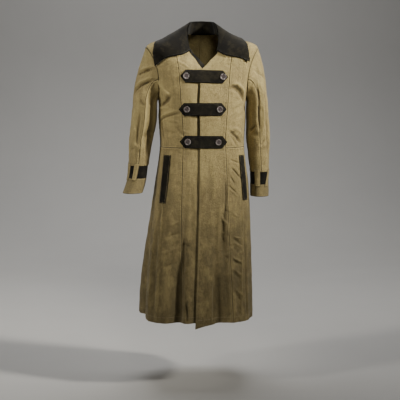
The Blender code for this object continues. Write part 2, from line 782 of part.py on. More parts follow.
def button_mesh():
    """A round sew-through button with a raised rim and four holes."""
    radius, thickness = BUTTON_RADIUS, BUTTON_THICKNESS
    profile = (
        (0.0, 0.0),
        (radius * 0.86, 0.0),
        (radius, thickness * 0.35),
        (radius, thickness * 0.8),
        (radius * 0.9, thickness),
        (radius * 0.76, thickness * 0.92),
        (radius * 0.66, thickness * 0.62),
        (0.0, thickness * 0.58),
    )
    shape = bmesh.new()
    centre_low = shape.verts.new((0, 0, profile[0][1]))
    centre_high = shape.verts.new((0, 0, profile[-1][1]))
    rings = []
    for r, z in profile[1:-1]:
        turns = [2 * math.pi * k / BUTTON_SIDES for k in range(BUTTON_SIDES)]
        rings.append([shape.verts.new((r * math.cos(a), r * math.sin(a), z)) for a in turns])
    for k in range(BUTTON_SIDES):
        n = (k + 1) % BUTTON_SIDES
        shape.faces.new((centre_low, rings[0][n], rings[0][k]))
        shape.faces.new((centre_high, rings[-1][k], rings[-1][n]))
        for low, high in zip(rings, rings[1:]):
            shape.faces.new((low[k], low[n], high[n], high[k]))
    bmesh.ops.recalc_face_normals(shape, faces=shape.faces)
    blank = bpy.data.meshes.new("button_blank")
    shape.to_mesh(blank)
    shape.free()
    body = bpy.data.objects.new("button_blank", blank)
    bpy.context.scene.collection.objects.link(body)
    cutters = []
    for k in range(BUTTON_HOLES):
        a = 2 * math.pi * (k + 0.5) / BUTTON_HOLES
        hole = bmesh.new()
        bmesh.ops.create_cone(
            hole, cap_ends=True, segments=6, radius1=BUTTON_HOLE_RADIUS,
            radius2=BUTTON_HOLE_RADIUS, depth=thickness * 4,
        )
        mesh = bpy.data.meshes.new(f"button_hole_{k}")
        hole.to_mesh(mesh)
        hole.free()
        cutter = bpy.data.objects.new(f"button_hole_{k}", mesh)
        cutter.location = (BUTTON_HOLE_SPREAD * math.cos(a), BUTTON_HOLE_SPREAD * math.sin(a), 0)
        cutter.hide_render = True
        cutter.display_type = "WIRE"
        bpy.context.scene.collection.objects.link(cutter)
        cut = body.modifiers.new(f"hole_{k}", "BOOLEAN")
        cut.operation = "DIFFERENCE"
        cut.solver = "EXACT"
        cut.object = cutter
        cutters.append(cutter)
    bpy.context.view_layer.update()
    graph = bpy.context.evaluated_depsgraph_get()
    finished = bpy.data.meshes.new_from_object(body.evaluated_get(graph))
    for obj in (body, *cutters):
        bpy.data.objects.remove(obj)
    finished.shade_smooth()
    finished.set_sharp_from_angle(angle=math.radians(35))
    return finished


def make_button(name, mesh, x, z, turn):
    """A button seated on a tab, facing the way the cloth faces there."""
    point, out = on_front(x, z, TAB_LIFT + SUEDE + SEAM_GAP * 1.6)
    level_axis = unit(np.cross((0.0, 0.0, 1.0), out))
    upright = np.cross(out, level_axis)
    c, s = math.cos(turn), math.sin(turn)
    first, second = level_axis * c + upright * s, upright * c - level_axis * s
    shape = mesh.copy()
    for vertex in shape.vertices:
        x_local, y_local, z_local = vertex.co
        vertex.co = point + first * x_local + second * y_local + out * z_local
    link(bpy.data.objects.new(name, shape), "button")


def make_welt(side, word):
    """A suede welt on the skirt, made from the skirt's points moved out."""
    top, bottom = (np.array(end) for end in WELTS[side])
    points = np.empty((WELT_ROWS + 1, WELT_COLUMNS + 1, 3))
    normals = np.empty_like(points)
    for i in range(WELT_ROWS + 1):
        t = i / WELT_ROWS
        z, x, width = top + (bottom - top) * t
        level = LEVEL_OF_ORIGIN - z / MM
        inner = angle_at(x, level)
        span = math.degrees(width / plain_radius(inner, level))
        for j in range(WELT_COLUMNS + 1):
            angle = side * (inner + span * j / WELT_COLUMNS)
            out = body_normal(angle, level)
            normals[i, j] = out
            points[i, j] = body_point(angle, level) + out * (WELT_LIFT + SUEDE)
    wall(f"pocket_welt_{word}", points, normals, SUEDE, "suede")


def main():
    for obj in list(bpy.data.objects):
        bpy.data.objects.remove(obj)
    for side, word in ((-1, "right"), (1, "left")):
        make_centre_front(side, word)
        make_side_front(side, word)
        make_back(side, word)
        make_sleeve(side, word)
        make_wrist(side, word)
        make_welt(side, word)
    make_collar_stand()
    make_collar_fall()
    mesh = button_mesh()
    for index, tab in enumerate(TABS):
        make_tab(tab)
        name, z, x_mid, tilt, right, left = tab
        for word, x in (("right", right), ("left", left)):
            z_here = z + (x - x_mid) * math.tan(math.radians(tilt))
            make_button(f"button_{name}_{word}", mesh, x, z_here, BUTTON_TURN * index)


main()
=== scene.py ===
"""Dresses the calf-length twill coat: cloth, suede trim, buttons, sewing, stage and camera.

Every cloth piece is a thin shell on the form of its solid. The form is read from the same short
tables as the solids: a place on it is an angle round the body, from the front towards the
wearer's left, and a level, which counts millimetres down the form. Units are metres.
"""

import json
import math

import bmesh
import bpy
import numpy as np
from mathutils import Matrix, Vector

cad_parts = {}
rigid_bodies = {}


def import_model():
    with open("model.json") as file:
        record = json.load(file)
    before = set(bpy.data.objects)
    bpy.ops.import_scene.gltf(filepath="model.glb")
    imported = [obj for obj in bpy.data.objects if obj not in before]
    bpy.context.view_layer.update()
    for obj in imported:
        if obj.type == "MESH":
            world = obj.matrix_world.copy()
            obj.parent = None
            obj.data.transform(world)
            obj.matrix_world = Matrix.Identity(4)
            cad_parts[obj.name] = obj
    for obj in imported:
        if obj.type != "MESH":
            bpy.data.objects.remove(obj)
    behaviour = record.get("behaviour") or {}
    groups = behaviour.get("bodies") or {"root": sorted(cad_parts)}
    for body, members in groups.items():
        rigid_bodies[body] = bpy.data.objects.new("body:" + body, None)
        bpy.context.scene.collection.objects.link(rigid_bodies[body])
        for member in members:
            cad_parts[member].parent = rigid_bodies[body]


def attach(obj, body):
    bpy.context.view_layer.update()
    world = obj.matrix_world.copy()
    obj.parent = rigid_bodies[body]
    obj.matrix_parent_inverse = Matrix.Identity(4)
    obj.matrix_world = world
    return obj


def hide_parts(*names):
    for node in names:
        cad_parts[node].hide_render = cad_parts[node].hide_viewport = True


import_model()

bl_info = {
    "name": "Twill coat",
    "version": (1, 0, 0),
    "blender": (4, 5, 0),
    "location": "View3D > Sidebar > Coat",
    "description": "Makes the cloth, trim, buttons and sewing of a long twill coat",
    "category": "Add Mesh",
}

MM = 0.001
BODY = "root"
WORDS = {-1: "right", 1: "left"}


class Table:
    """A short table read on a smooth curve through its rows; the first column is the key."""

    def __init__(self, rows):
        rows = np.array(sorted(rows), float)
        self.keys, self.values = rows[:, 0], rows[:, 1:]
        self.slopes = np.gradient(self.values, self.keys, axis=0)

    def __call__(self, key):
        key = np.clip(np.asarray(key, float), self.keys[0], self.keys[-1])
        i = np.clip(np.searchsorted(self.keys, key, side="right") - 1, 0, len(self.keys) - 2)
        span = (self.keys[i + 1] - self.keys[i])[..., None]
        t = (key - self.keys[i])[..., None] / span
        a, b = 2 * t**3 - 3 * t**2 + 1, t**3 - 2 * t**2 + t
        c, d = 3 * t**2 - 2 * t**3, t**3 - t**2
        ends = a * self.values[i] + c * self.values[i + 1]
        return ends + span * (b * self.slopes[i] + d * self.slopes[i + 1])


# The body form, as in the solids
SECTIONS = Table((
    # level, half_width, front, back, z_front, z_side, z_back, y_mid, squareness
    (0, 62, 56, 62, -85, 4, 4, 6, 2.3),
    (50, 113, 87, 86, -112, -6, -18, 5, 2.3),
    (110, 174, 108, 106, -140, -22, -55, 4, 2.3),
    (165, 227, 119, 120, -168, -40, -95, 3, 2.3),
    (200, 241, 125, 128, -190, -62, -130, 2, 2.3),
    (240, 226, 130, 133, -217, -130, -178, 1, 2.3),
    (316, 188, 136, 137, -276, -276, -276, 0, 2.3),
    (390, 187, 134, 131, -350, -350, -350, 0, 2.3),
    (450, 183, 130, 123, -410, -410, -410, 0, 2.3),
    (515, 181, 128, 119, -475, -475, -475, 0, 2.3),
    (570, 187, 131, 126, -530, -530, -530, 0, 2.4),
    (670, 200, 139, 141, -630, -630, -630, 0, 2.5),
    (785, 207, 148, 157, -745, -745, -745, 0, 2.7),
    (910, 211, 157, 174, -870, -870, -870, 0, 2.9),
    (1080, 215, 170, 192, -1040, -1040, -1040, 0, 3.2),
    (1254, 217, 182, 208, -1214, -1214, -1214, 0, 3.5),
    (1290, 218, 184, 211, -1250, -1250, -1250, 0, 3.5),
))
SHOULDER_TIP, ARMPIT, WAIST, HEM = 190.0, 316.0, 515.0, 1254.0
LEVEL_OF_ORIGIN = 40.0
SIDE_ANGLE = 90.0
ARMHOLE_FRONT, ARMHOLE_BACK = 21.0, 23.0
ARMHOLE_STEPS = 7
TIP_DROP = 26.0
LAP_SINK = 3.4 * MM
LAP_SINK_BEFORE_EDGE = 0.046
LAP_SINK_RISE = 0.034
GAPE_WIDTH, GAPE_DEPTH = 12.5 * MM, 8.0 * MM
CREASE_GAIN = 2.0
FOLD_SHADE = 0.22
PALE_EDGE = 3.6
FOLD_SHADE_RANGE = (-6.0, 2.0)
SHARP_EDGE = math.radians(62)

FOLDS = (
    # angle, half_angle, depth_mm, start_level, drift
    (-110, 34, 58, 560, 0),
    (-70, 48, 37, 560, 0),
    (-90, 9, -22, 600, 2),
    (-36, 10, -24, 760, 2),
    (-22, 8, 9, 800, 0),
    (18, 9, -14, 740, -2),
    (33, 8, 8, 800, 0),
    (62, 12, -9, 700, 0),
    (100, 14, 14, 720, 0),
    (128, 13, -16, 700, 0),
    (150, 12, 16, 720, 0),
    (176, 13, -14, 760, 0),
    (-158, 12, 14, 740, 0),
    (-137, 11, -12, 700, 0),
)
DRAGS = (
    # angle, level, half_angle, half_level, depth_mm, slant
    (-62, 300, 13, 14, 5, 1.2),
    (-55, 345, 14, 12, -4, 1.0),
    (-52, 400, 14, 12, 4, 0.6),
    (-58, 455, 16, 14, -4, 0.3),
    (56, 330, 15, 15, 6, -1.6),
    (60, 385, 14, 14, -5, -1.4),
    (50, 440, 12, 13, 4, -0.8),
    (62, 480, 12, 12, -3, -0.4),
    (140, 330, 22, 16, 4, 0.6),
    (-140, 340, 22, 16, 4, -0.6),
    (155, 440, 20, 15, -5, 0.3),
    (-150, 455, 20, 15, -4, -0.3),
)

# Creases placed on the body, each along a line from one place to another. A depth below
# zero is a trough; bow bends the line, and sharp narrows its lower or right-hand side
CREASES = (
    # angle_0, level_0, angle_1, level_1, width_mm, depth_mm, bow_mm, sharp
    (-74, 262, -54, 300, 9, 4.0, -4, 0.6),
    (-54, 306, -76, 336, 9, -4.5, 3, 0.8),
    (-80, 404, -40, 368, 6, -3.2, 4, 0.6),
    (-78, 392, -44, 356, 8, 2.6, 4, 0.8),
    (-74, 400, -71, 485, 10, -3.5, -5, 0.7),
    (-84, 350, -60, 346, 8, 2.2, 3, 0.8),
    (-48, 430, -34, 470, 9, -1.6, 3, 0.9),
    (42, 262, 68, 300, 8, 3.5, 6, 0.6),
    (44, 276, 70, 322, 9, -3.4, 6, 0.8),
    (38, 278, 56, 279, 6, -1.6, 2, 0.8),
    (44, 446, 66, 496, 8, -4.4, 3, 0.6),
    (45, 462, 58, 510, 6, -2.2, 2, 0.8),
    (50, 430, 72, 470, 8, 2.4, 4, 0.8),
    (72, 330, 84, 380, 8, -3.0, 2, 0.8),
    (30, 150, 52, 128, 9, 1.6, 3, 0.9),
    (-30, 168, -50, 190, 9, 1.6, -3, 0.9),
    (44, 566, 58, 582, 4, -2.9, 1, 0.7),
    (45, 600, 58, 646, 4.5, -3.5, 2, 0.7),
    (41, 630, 48, 670, 4, -2.6, 1, 0.8),
    (39, 676, 48, 704, 4, -2.9, 1, 0.7),
    (41, 696, 49, 722, 3.6, 2.2, 1, 0.8),
    (40, 786, 47, 806, 6, 1.8, 1, 0.8),
    (-37, 820, -48, 842, 7, 1.5, 1, 0.9),
    (-37, 872, -50, 890, 7, -1.5, 1, 0.9),
    (-38, 930, -52, 960, 8, 1.6, 2, 0.9),
    (-39, 990, -50, 1020, 8, -1.5, 2, 0.9),
    (13, 1090, 10, 1254, 12, -4.0, 4, 0.7),
    (3, 1000, 4, 1250, 16, 3.0, 3, 0.9),
    (-25, 1160, -23, 1254, 7, -5.0, 3, 0.6),
    (-82, 700, -80, 1240, 9, -5.5, 4, 0.7),
    (50, 960, 44, 1220, 7, 3.4, -3, 0.7),
    (55, 840, 52, 1240, 10, -3.4, 4, 0.8),
    (-14, 640, -10, 830, 16, -1.6, 6, 0.9),
    (-22, 690, -20, 900, 12, -1.5, 4, 0.9),
    (8, 560, 6, 760, 18, -1.3, 6, 0.9),
    (-50, 770, -46, 1000, 12, 1.6, 4, 0.9),
    (110, 690, 108, 1250, 14, -5.0, 8, 0.7),
    (139, 640, 140, 1250, 12, -5.0, 6, 0.7),
    (165, 660, 164, 1250, 14, 4.4, 5, 0.8),
    (-172, 620, -170, 1250, 10, -3.6, 6, 0.8),
    (-148, 700, -148, 1250, 12, -5.0, 5, 0.7),
    (-124, 660, -126, 1250, 14, 4.0, 6, 0.8),
    (-102, 640, -101, 1250, 10, -5.0, 4, 0.7),
    (168, 300, 128, 268, 10, -3.4, 6, 0.8),
    (170, 330, 126, 310, 9, 2.6, 4, 0.8),
    (-166, 292, -126, 262, 10, -3.2, 6, 0.8),
    (-170, 344, -124, 318, 9, 2.6, 5, 0.8),
    (174, 446, 140, 470, 8, -3.0, 5, 0.7),
    (-172, 452, -136, 462, 8, -3.2, 5, 0.7),
    (160, 400, 118, 420, 8, -2.4, 4, 0.8),
    (-158, 396, -116, 428, 8, -2.4, 4, 0.8),
    (-120, 340, -98, 306, 8, 3.2, 3, 0.8),
    (122, 340, 98, 306, 8, 3.2, 3, 0.8),
    (-150, 540, -120, 600, 9, -2.0, 5, 0.9),
    (150, 550, 124, 620, 9, -2.0, 5, 0.9),
)

# Creases of the front, placed by their distance from the centre line
FRONT_CREASES = (
    # side, x_0, level_0, x_1, level_1, width_mm, depth_mm, bow_mm, sharp
    (1, 88, 654, 84, 805, 7, -2.8, 3, 0.7),
    (1, 83, 786, 76, 952, 15, -4, -3, 0.8),
    (1, 79, 922, 80, 1108, 19, -2.9, 3, 0.8),
    (1, 80, 1079, 86, 1284, 22, -3, 4, 0.9),
    (1, 64, 747, 57, 961, 9, 1.5, -3, 0.9),
    (1, 71, 801, 94, 836, 7, 3.4, -2, 0.7),
    (1, 95, 831, 97, 879, 6, 2.6, 0, 0.8),
    (1, 88, 747, 97, 758, 6, 1.4, 0, 0.8),
    (1, 86, 774, 96, 790, 6, -1.6, 1, 0.8),
    (1, 69, 868, 83, 874, 6, 1.8, 1, 0.8),
    (1, 73, 893, 87, 915, 6, -2, 1, 0.8),
    (1, 67, 940, 81, 952, 6, 1.3, 1, 0.8),
    (1, 89, 975, 99, 981, 6, -2, 0, 0.8),
    (1, 45, 1020, 50, 1284, 20, -2.8, 6, 0.9),
    (1, 121, 889, 157, 900, 6, 2.8, -2, 0.7),
    (1, 125, 903, 159, 926, 6, -2.2, -1, 0.8),
    (1, 121, 913, 155, 940, 6, 1.7, 1, 0.8),
    (1, 119, 934, 145, 960, 6, -1.6, 1, 0.9),
    (1, 115, 975, 155, 999, 6, 2.8, -1, 0.7),
    (1, 117, 991, 159, 1014, 6, -2.2, -1, 0.8),
    (1, 117, 1026, 154, 1055, 6, 1.8, 1, 0.8),
    (1, 118, 1044, 154, 1073, 7, -1.8, 1, 0.8),
    (1, 122, 1108, 162, 1149, 7, 2.2, 2, 0.8),
    (1, 122, 1131, 160, 1174, 8, -1.6, 2, 0.9),
    (1, 126, 1206, 164, 1283, 8, 1.5, 2, 0.9),
    (1, 161, 747, 170, 1059, 7, 2.2, 3, 0.6),
    (1, 177, 883, 184, 1284, 9, -2.4, 4, 0.8),
    (-1, 92, 893, 96, 1049, 11, -4, 2, 0.7),
    (-1, 79, 1030, 97, 1040, 6, 2, 1, 0.7),
    (-1, 106, 985, 120, 1284, 24, -3.8, 6, 0.8),
    (-1, 71, 928, 93, 915, 7, -2, 1, 0.9),
    (-1, 65, 952, 76, 1098, 8, 1.8, 3, 0.9),
    (-1, 157, 874, 160, 1284, 20, 2.2, 6, 0.9),
    (-1, 170, 717, 175, 913, 6, 2.8, 2, 0.6),
    (-1, 178, 747, 183, 903, 6, -2.4, 1, 0.8),
    (-1, 195, 864, 207, 1284, 8, 4.2, 4, 0.6),
    (-1, 211, 883, 224, 1284, 9, -4.4, 5, 0.8),
    (-1, 227, 942, 239, 1284, 6, 2.4, 3, 0.8),
    (-1, 237, 922, 252, 1284, 6, -3.6, 4, 0.7),
    (-1, 176, 830, 184, 1240, 8, 3.0, 4, 0.6),
    (-1, 188, 850, 196, 1240, 8, -3.0, 4, 0.8),
)

# Seams of the front
PRINCESS_TOP = ((SIDE_ANGLE, 56.0), (67.0, 80.0), (51.5, 130.0))
PRINCESS = Table((
    # level, x
    (150, 116),
    (240, 105),
    (340, 97),
    (480, 89),
    (600, 93),
    (800, 98),
    (1000, 105),
    (1290, 114),
))
UPPER_LEVELS = (100, 122, 155, 195, 238, 282, 326, 372, 420, 468, WAIST)
SKIRT_LEVELS = (WAIST, 560, 610, 665, 722, 780, 840, 900, 962, 1025, 1088, 1150, 1206, HEM)
NECKLINE = ((SIDE_ANGLE, 0.0), (65.0, 18.0), (35.0, 56.0))
OPENING_LEVELS = (60, 124, 190, 255, 320, 385, 450, WAIST)
EDGE_LEFT = Table((
    # level, x
    (60, 0.026),
    (124, -0.009),
    (190, -0.016),
    (255, -0.019),
    (320, -0.022),
    (385, -0.021),
    (450, -0.020),
    (515, -0.020),
    (800, -0.026),
    (1060, -0.036),
    (1290, -0.046),
))
EDGE_RIGHT = Table((
    # level, x
    (60, 0.034),
    (124, 0.004),
    (190, -0.018),
    (255, -0.020),
    (515, -0.020),
    (1290, -0.020),
))
BACK_MIDDLE = (
    # angle, level
    (90.0, 0.0),
    (120.0, 0.0),
    (150.0, 0.0),
    (180.0, 0.0),
    (180.0, 70.0),
    (180.0, 150.0),
    (180.0, 228.0),
    (180.0, 305.0),
    (180.0, 380.0),
    (180.0, 448.0),
    (180.0, WAIST),
)

# Sleeves: from the biceps to the edge of the cuff, in mm
SLEEVES = {
    -1: Table((
        # z, x_mid, half_width, y_mid, half_depth
        (-300, 245.5, 52.5, 2, 72),
        (-370, 250.5, 55, 3, 68),
        (-448, 264, 51, 0, 62),
        (-500, 270, 47, -8, 57),
        (-553, 276, 43, -17, 52),
        (-606, 282, 41, -27, 50),
        (-640, 291, 42, -33, 52),
        (-670, 302, 43, -38, 54),
    )),
    1: Table((
        # z, x_mid, half_width, y_mid, half_depth
        (-300, 237, 44.5, 2, 72),
        (-370, 239.5, 47, 3, 68),
        (-448, 243, 49.5, 1, 62),
        (-515, 246.5, 45.5, -6, 57),
        (-583, 248.5, 41, -15, 52),
        (-636, 248, 40, -24, 50),
        (-665, 247.5, 40, -29, 52),
        (-688, 247, 39.5, -33, 54),
    )),
}
BICEPS = -0.300
BAND_TOP = {1: -0.583, -1: -0.553}
BAND_BOTTOM = {1: -0.636, -1: -0.606}
CUFF_EDGE = {1: -0.688, -1: -0.670}
FRONT_SEAM_SHARE = 4 / 14
FRONT_SEAM_TURN = 88.0
SLEEVE_SWELLS = (
    # turn, z, half_turn, half_z, depth_mm, slant
    (70, -190, 45, 16, 5, 0.5),
    (60, -235, 50, 15, -4, 0.5),
    (95, -290, 50, 17, 4, 0.4),
    (120, -420, 50, 18, -4, 0.3),
    (70, -470, 55, 18, 4, -0.3),
    (250, -440, 60, 22, -5, 0.3),
    (280, -390, 60, 20, 4, -0.3),
)
SLEEVE_CREASES = {
    -1: (
        # turn_0, z_0, turn_1, z_1, width_mm, depth_mm, bow_mm, sharp
        (128, -230, 132, -520, 16, -4.0, 4, 0.9),
        (92, -200, 94, -530, 7, 2.6, 3, 0.7),
        (18, -168, 66, -146, 7, -6.0, 3, 0.6),
        (20, -150, 70, -128, 8, 3.6, 3, 0.8),
        (14, -252, 88, -196, 7, -5.5, -5, 0.6),
        (20, -232, 84, -180, 8, 4.0, -5, 0.8),
        (60, -272, 92, -300, 7, -3.0, 3, 0.8),
        (30, -330, 60, -420, 12, 2.6, 6, 0.9),
        (66, -330, 72, -470, 8, -3.2, 4, 0.7),
        (20, -492, 58, -476, 5, -2.2, 2, 0.7),
        (110, -400, 150, -440, 9, -3.0, 4, 0.8),
        (20, -400, 26, -520, 10, -2.0, 5, 0.9),
        (200, -420, 270, -440, 9, -4.0, 5, 0.7),
        (210, -470, 280, -480, 9, -3.4, 5, 0.7),
        (230, -360, 300, -330, 9, -3.2, 5, 0.8),
        (300, -230, 350, -200, 9, -4.0, 5, 0.8),
    ),
    1: (
        # turn_0, z_0, turn_1, z_1, width_mm, depth_mm, bow_mm, sharp
        (64, -190, 74, -420, 8, 4.2, 5, 0.6),
        (82, -210, 88, -400, 9, -5.0, -4, 0.7),
        (40, -230, 48, -520, 10, -3.4, 6, 0.8),
        (24, -260, 30, -500, 10, 2.6, 5, 0.9),
        (20, -180, 64, -150, 9, -2.6, 4, 0.8),
        (60, -440, 92, -470, 8, -2.6, 3, 0.8),
        (50, -520, 84, -560, 8, -2.2, 3, 0.8),
        (110, -380, 150, -410, 9, -3.4, 4, 0.8),
        (200, -430, 270, -450, 9, -4.0, 5, 0.7),
        (215, -490, 280, -500, 9, -3.2, 5, 0.7),
        (235, -350, 300, -320, 9, -3.2, 5, 0.8),
        (300, -225, 350, -195, 9, -4.0, 5, 0.8),
    ),
}

LOOPS = {
    # name, top_turn, bottom_turn, width, all in degrees round the sleeve
    -1: (("outer", 30, 16, 30), ("front", 80, 70, 27), ("back", 262, 262, 30)),
    1: (("outer", 32, 56, 22), ("front", 112, 112, 34), ("back", 262, 262, 30)),
}
LOOP_OVERLAP = 0.010
LOOP_LIFT = 0.7 * MM

# Collar, tabs and welts, as in the solids
COLLAR_END_ANGLE = 35.0
NECK_LEVELS = Table((
    # angle, level
    (35, 56),
    (65, 18),
    (90, 0),
    (130, 0),
    (180, 0),
))
COLLAR = Table((
    # share, roll_height_mm, right_angle, right_level, left_angle, left_level
    (0.00, 12, 71, 236, 65, 221),
    (0.08, 26, 71, 212, 66, 197),
    (0.20, 42, 73, 172, 69, 158),
    (0.34, 50, 87, 115, 82, 111),
    (0.52, 53, 108, 106, 106, 104),
    (0.75, 56, 142, 111, 142, 111),
    (1.00, 58, 180, 117, 180, 117),
))
COLLAR_LIFT = 6.0 * MM
COLLAR_LEAN = 0.22
COLLAR_FALL_POWER = {-1: 0.95, 1: 1.5}
COLLAR_BACK_POWER, COLLAR_BACK_SHARE = 2.1, 0.8
COLLAR_BOW, COLLAR_BOW_SHARE = 0.6, 0.3
STAND_RISE, STAND_BELOW_ROLL = 1.0 * MM, 4.2 * MM
TAB_LENGTH, TAB_HEIGHT, TAB_POINT = 0.197, 0.053, 0.020
TAB_LIFT = 1.3 * MM
TAB_TIP_SHARE = 0.06
TABS = (
    # name, z, x_mid, tilt, button_right, button_left
    ("top", -0.177, -0.002, -1.4, -0.077, 0.077),
    ("middle", -0.313, -0.008, 0.0, -0.074, 0.062),
    ("bottom", -0.450, -0.004, -0.8, -0.070, 0.057),
)
WELTS = {
    # z, x, width, at the top and at the bottom
    -1: ((-0.507, 0.140, 0.038), (-0.710, 0.160, 0.031)),
    1: ((-0.509, 0.149, 0.036), (-0.700, 0.165, 0.031)),
}
WELT_LIFT = 1.0 * MM

# Grids: distances from an edge, in mm, at which a sewn edge, a hem and trim have their lines
SEAM_LINES = (0.0, 0.7, 1.8, 3.4, 5.4, 8.0, 11.5, 16.0)
SEAM_ROWS = SEAM_LINES[:6]
HEM_LINES = (0.0, 0.8, 2.2, 5.0, 10.0, 17.0, 23.5, 25.0, 26.5, 32.0)
TRIM_LINES = (0.0, 0.5, 1.2, 2.2, 3.4, 5.0, 7.0)
NEAR_STITCH, FAR_STITCH, HEM_STITCH, TRIM_STITCH = 2, 5, 7, 4
CLOTH_STEP = 4.2 * MM
TRIM_STEP = 3.5 * MM

# The twill panels: walls in mm, flat sizes in metres and square metres
PANELS = {
    # kind: piece, solid, wall, seed, calm, flat_width, flat_length, area_right, area_left
    "front": ("front_{}", "centre_front_{}", 1.7, 1.3, 0.4, 0.19, 1.30, 0.1486, 0.1612),
    "side_front": ("side_front_{}", "side_front_upper_{}", 1.6, 2.1, 0.1, 0.17, 0.46, 0.0623, 0.0623),
    "side_skirt": ("side_skirt_{}", "side_front_skirt_{}", 1.6, 3.2, 0.2, 0.26, 0.75, 0.1668, 0.1494),
    "back": ("back_{}", "back_upper_{}", 1.6, 4.5, 0.1, 0.26, 0.55, 0.1228, 0.1228),
    "back_skirt": ("back_skirt_{}_cloth", "back_skirt_{}", 1.6, 5.7, 0.1, 0.40, 0.75, 0.2573, 0.2367),
    "under_sleeve": (
        "under_sleeve_{}_cloth", "under_sleeve_{}", 1.6, 7.1 - 4 / 14, 0.0, 0.20, 0.47, 0.0602, 0.0619),
    "upper_sleeve": (
        "upper_sleeve_{}_cloth", "upper_sleeve_{}", 1.6, 7.1 + 4 / 14, 0.0, 0.24, 0.60, 0.0928, 0.0928),
}

# How each kind of edge moves the face of the cloth, by its distance from the edge, all in mm
EDGE_FORMS = {
    # kind: raised, raised_to, fade, dip, dip_width, line, line_at, line_width
    "seam": (0.0, 0.0, 1.0, 1.3, 1.1, 0.35, 4.5, 5.0),
    "sunk": (0.0, 0.0, 1.0, 2.4, 2.2, 0.5, 6.5, 5.0),
    "lapped": (0.9, 8.0, 2.5, 1.7, 0.8, -0.3, 1.8, 1.2),
    "hem": (0.5, 25.0, 3.0, 0.7, 1.0, -0.6, 25.0, 2.2),
    "free": (0.7, 9.0, 4.0, 0.8, 0.9, -0.4, 5.4, 1.6),
}
UNEVEN, PUCKER, PUCKER_AT, PUCKER_WIDTH = 1.5, 0.6, 8.0, 9.0
FREE_EDGE_WALL = 0.8

# Collar, facing and trim: sizes in mm unless they have MM or are shares
COLLAR_WALL, STAND_WALL, STAND_INSET, FACING_WALL = 3.0, 2.0, 3.0, 1.6
COLLAR_RUN, COLLAR_DROP = 0.44, 0.15
COLLAR_UNEVEN, COLLAR_SWAY, COLLAR_CORNER, COLLAR_GROOVE, COLLAR_ROLL = 0.9, 2.2, 1.0, 0.6, 0.5
COLLAR_STITCH = 5
STAND_SHARES = (1.0, 0.95, 0.88, 0.75, 0.6, 0.45, 0.3, 0.15, 0.06, 0.0)
FACING_SPAN = (1.7, 4.2)
FACING_WIDTH, FACING_UNDER, FACING_DIP, FACING_EXTRA_DIP = 21, 8, 3.0, 1.5
FACING_SHARES = (0.0, 0.04, 0.12, 0.3, 0.5, 0.7, 0.88, 0.95, 0.98, 1.0)
TAB_END_LINES = (0.0, 0.5, 1.2, 2.4, 4.0, 6.0, 8.5, 11.0, 14.0, 17.0)
TAB_STITCH_INSET, TAB_STITCH_STEP, TAB_STITCH_LIFT = 4.2 * MM, 4 * MM, 3.1 * MM
TRIM_FORMS = {
    # kind: wall, middle, corner, groove, uneven
    "tab": (3.0, 0.6, 1.1, 0.7, 0.7),
    "welt": (2.6, 0.4, 1.0, 0.6, 0.4),
}
TRIM_GROOVE_AT, TRIM_GROOVE_WIDTH, TRIM_UNDERCUT = 4.2, 1.5, 0.9

BUTTON_PROFILE = (
    # share of the radius, share of the thickness
    (0.80, 0.0),
    (0.90, 0.05),
    (0.97, 0.22),
    (1.00, 0.48),
    (0.985, 0.74),
    (0.94, 0.93),
    (0.87, 1.0),
    (0.79, 0.95),
    (0.71, 0.78),
    (0.64, 0.64),
    (0.52, 0.60),
    (0.42, 0.59),
)
BUTTON_SIDES, HOLE_SIDES, THREAD_SIDES = 48, 14, 6
HOLE_SPREAD, HOLE_RADIUS = 2.6 * MM, 1.05 * MM
BUTTON_LIFT = 3.5 * MM
ARCH_RADIUS, ARCH_REACH, ARCH_SHIFT, ARCH_TOP = 0.42 * MM, 2.75 * MM, 0.35 * MM, 2.75

CAMERA_AT = (-0.3777, -4.2181, -0.212)
CAMERA_YAW, CAMERA_PITCH = 5.0, 6.7
CAMERA_LENS = 88.1
FLOOR_Z, FLOOR_BEND, FLOOR_HALF, WALL_TOP = -1.508, 1.6, 7.0, 6.0
FLOOR_BACK = 2.4
NECK_POINT, SKIRT_POINT, FLOOR_POINT = (0.0, -0.05, -0.08), (-0.2, 0.0, -0.85), (0.0, 2.2, -1.5)
WARM, WHITE = (1.0, 0.96, 0.87), (1.0, 1.0, 1.0)
LIGHTS = (
    # name, place, target, size, watts, colour, spread_degrees
    ("key_left", (3.4, -1.75, 1.7), NECK_POINT, 0.5, 14.6, WARM, 37),
    ("key_right", (-3.4, -1.6, 1.6), NECK_POINT, 0.5, 3.6, WARM, 37),
    ("side", (-3.3, -1.3, -0.2), SKIRT_POINT, 0.8, 1.5, WARM, 34),
    ("fill", (0.3, -3.4, 1.9), (0.0, 0.0, -0.08), 1.0, 2.0, (1.0, 0.97, 0.9), 36),
    ("floor_light", (0.0, 1.2, 3.2), FLOOR_POINT, 2.5, 60, WHITE, 120),
)
WORLD_COLOUR, WORLD_STRENGTH = (0.92, 0.88, 0.82, 1.0), 0.03

SEWING = {"tan": [], "dark": []}


def ease(value):
    """0 below 0, 1 above 1, and a smooth rise between."""
    value = np.clip(value, 0.0, 1.0)
    return value * value * (3 - 2 * value)


def hump(distance):
    """1 at 0, and smoothly 0 from 1 outwards."""
    return np.cos(np.minimum(np.abs(distance), 1.0) * math.pi / 2) ** 2


def rounded(distance, size=0.6):
    """1 at 0, and nearly 0 from twice the size outwards."""
    return np.exp(-((distance / size) ** 2))


def turned(angle):
    """An angle in degrees brought to between -180 and 180."""
    return (angle + 180) % 360 - 180


def unit(vectors):
    return vectors / np.maximum(np.linalg.norm(vectors, axis=-1, keepdims=True), 1e-12)


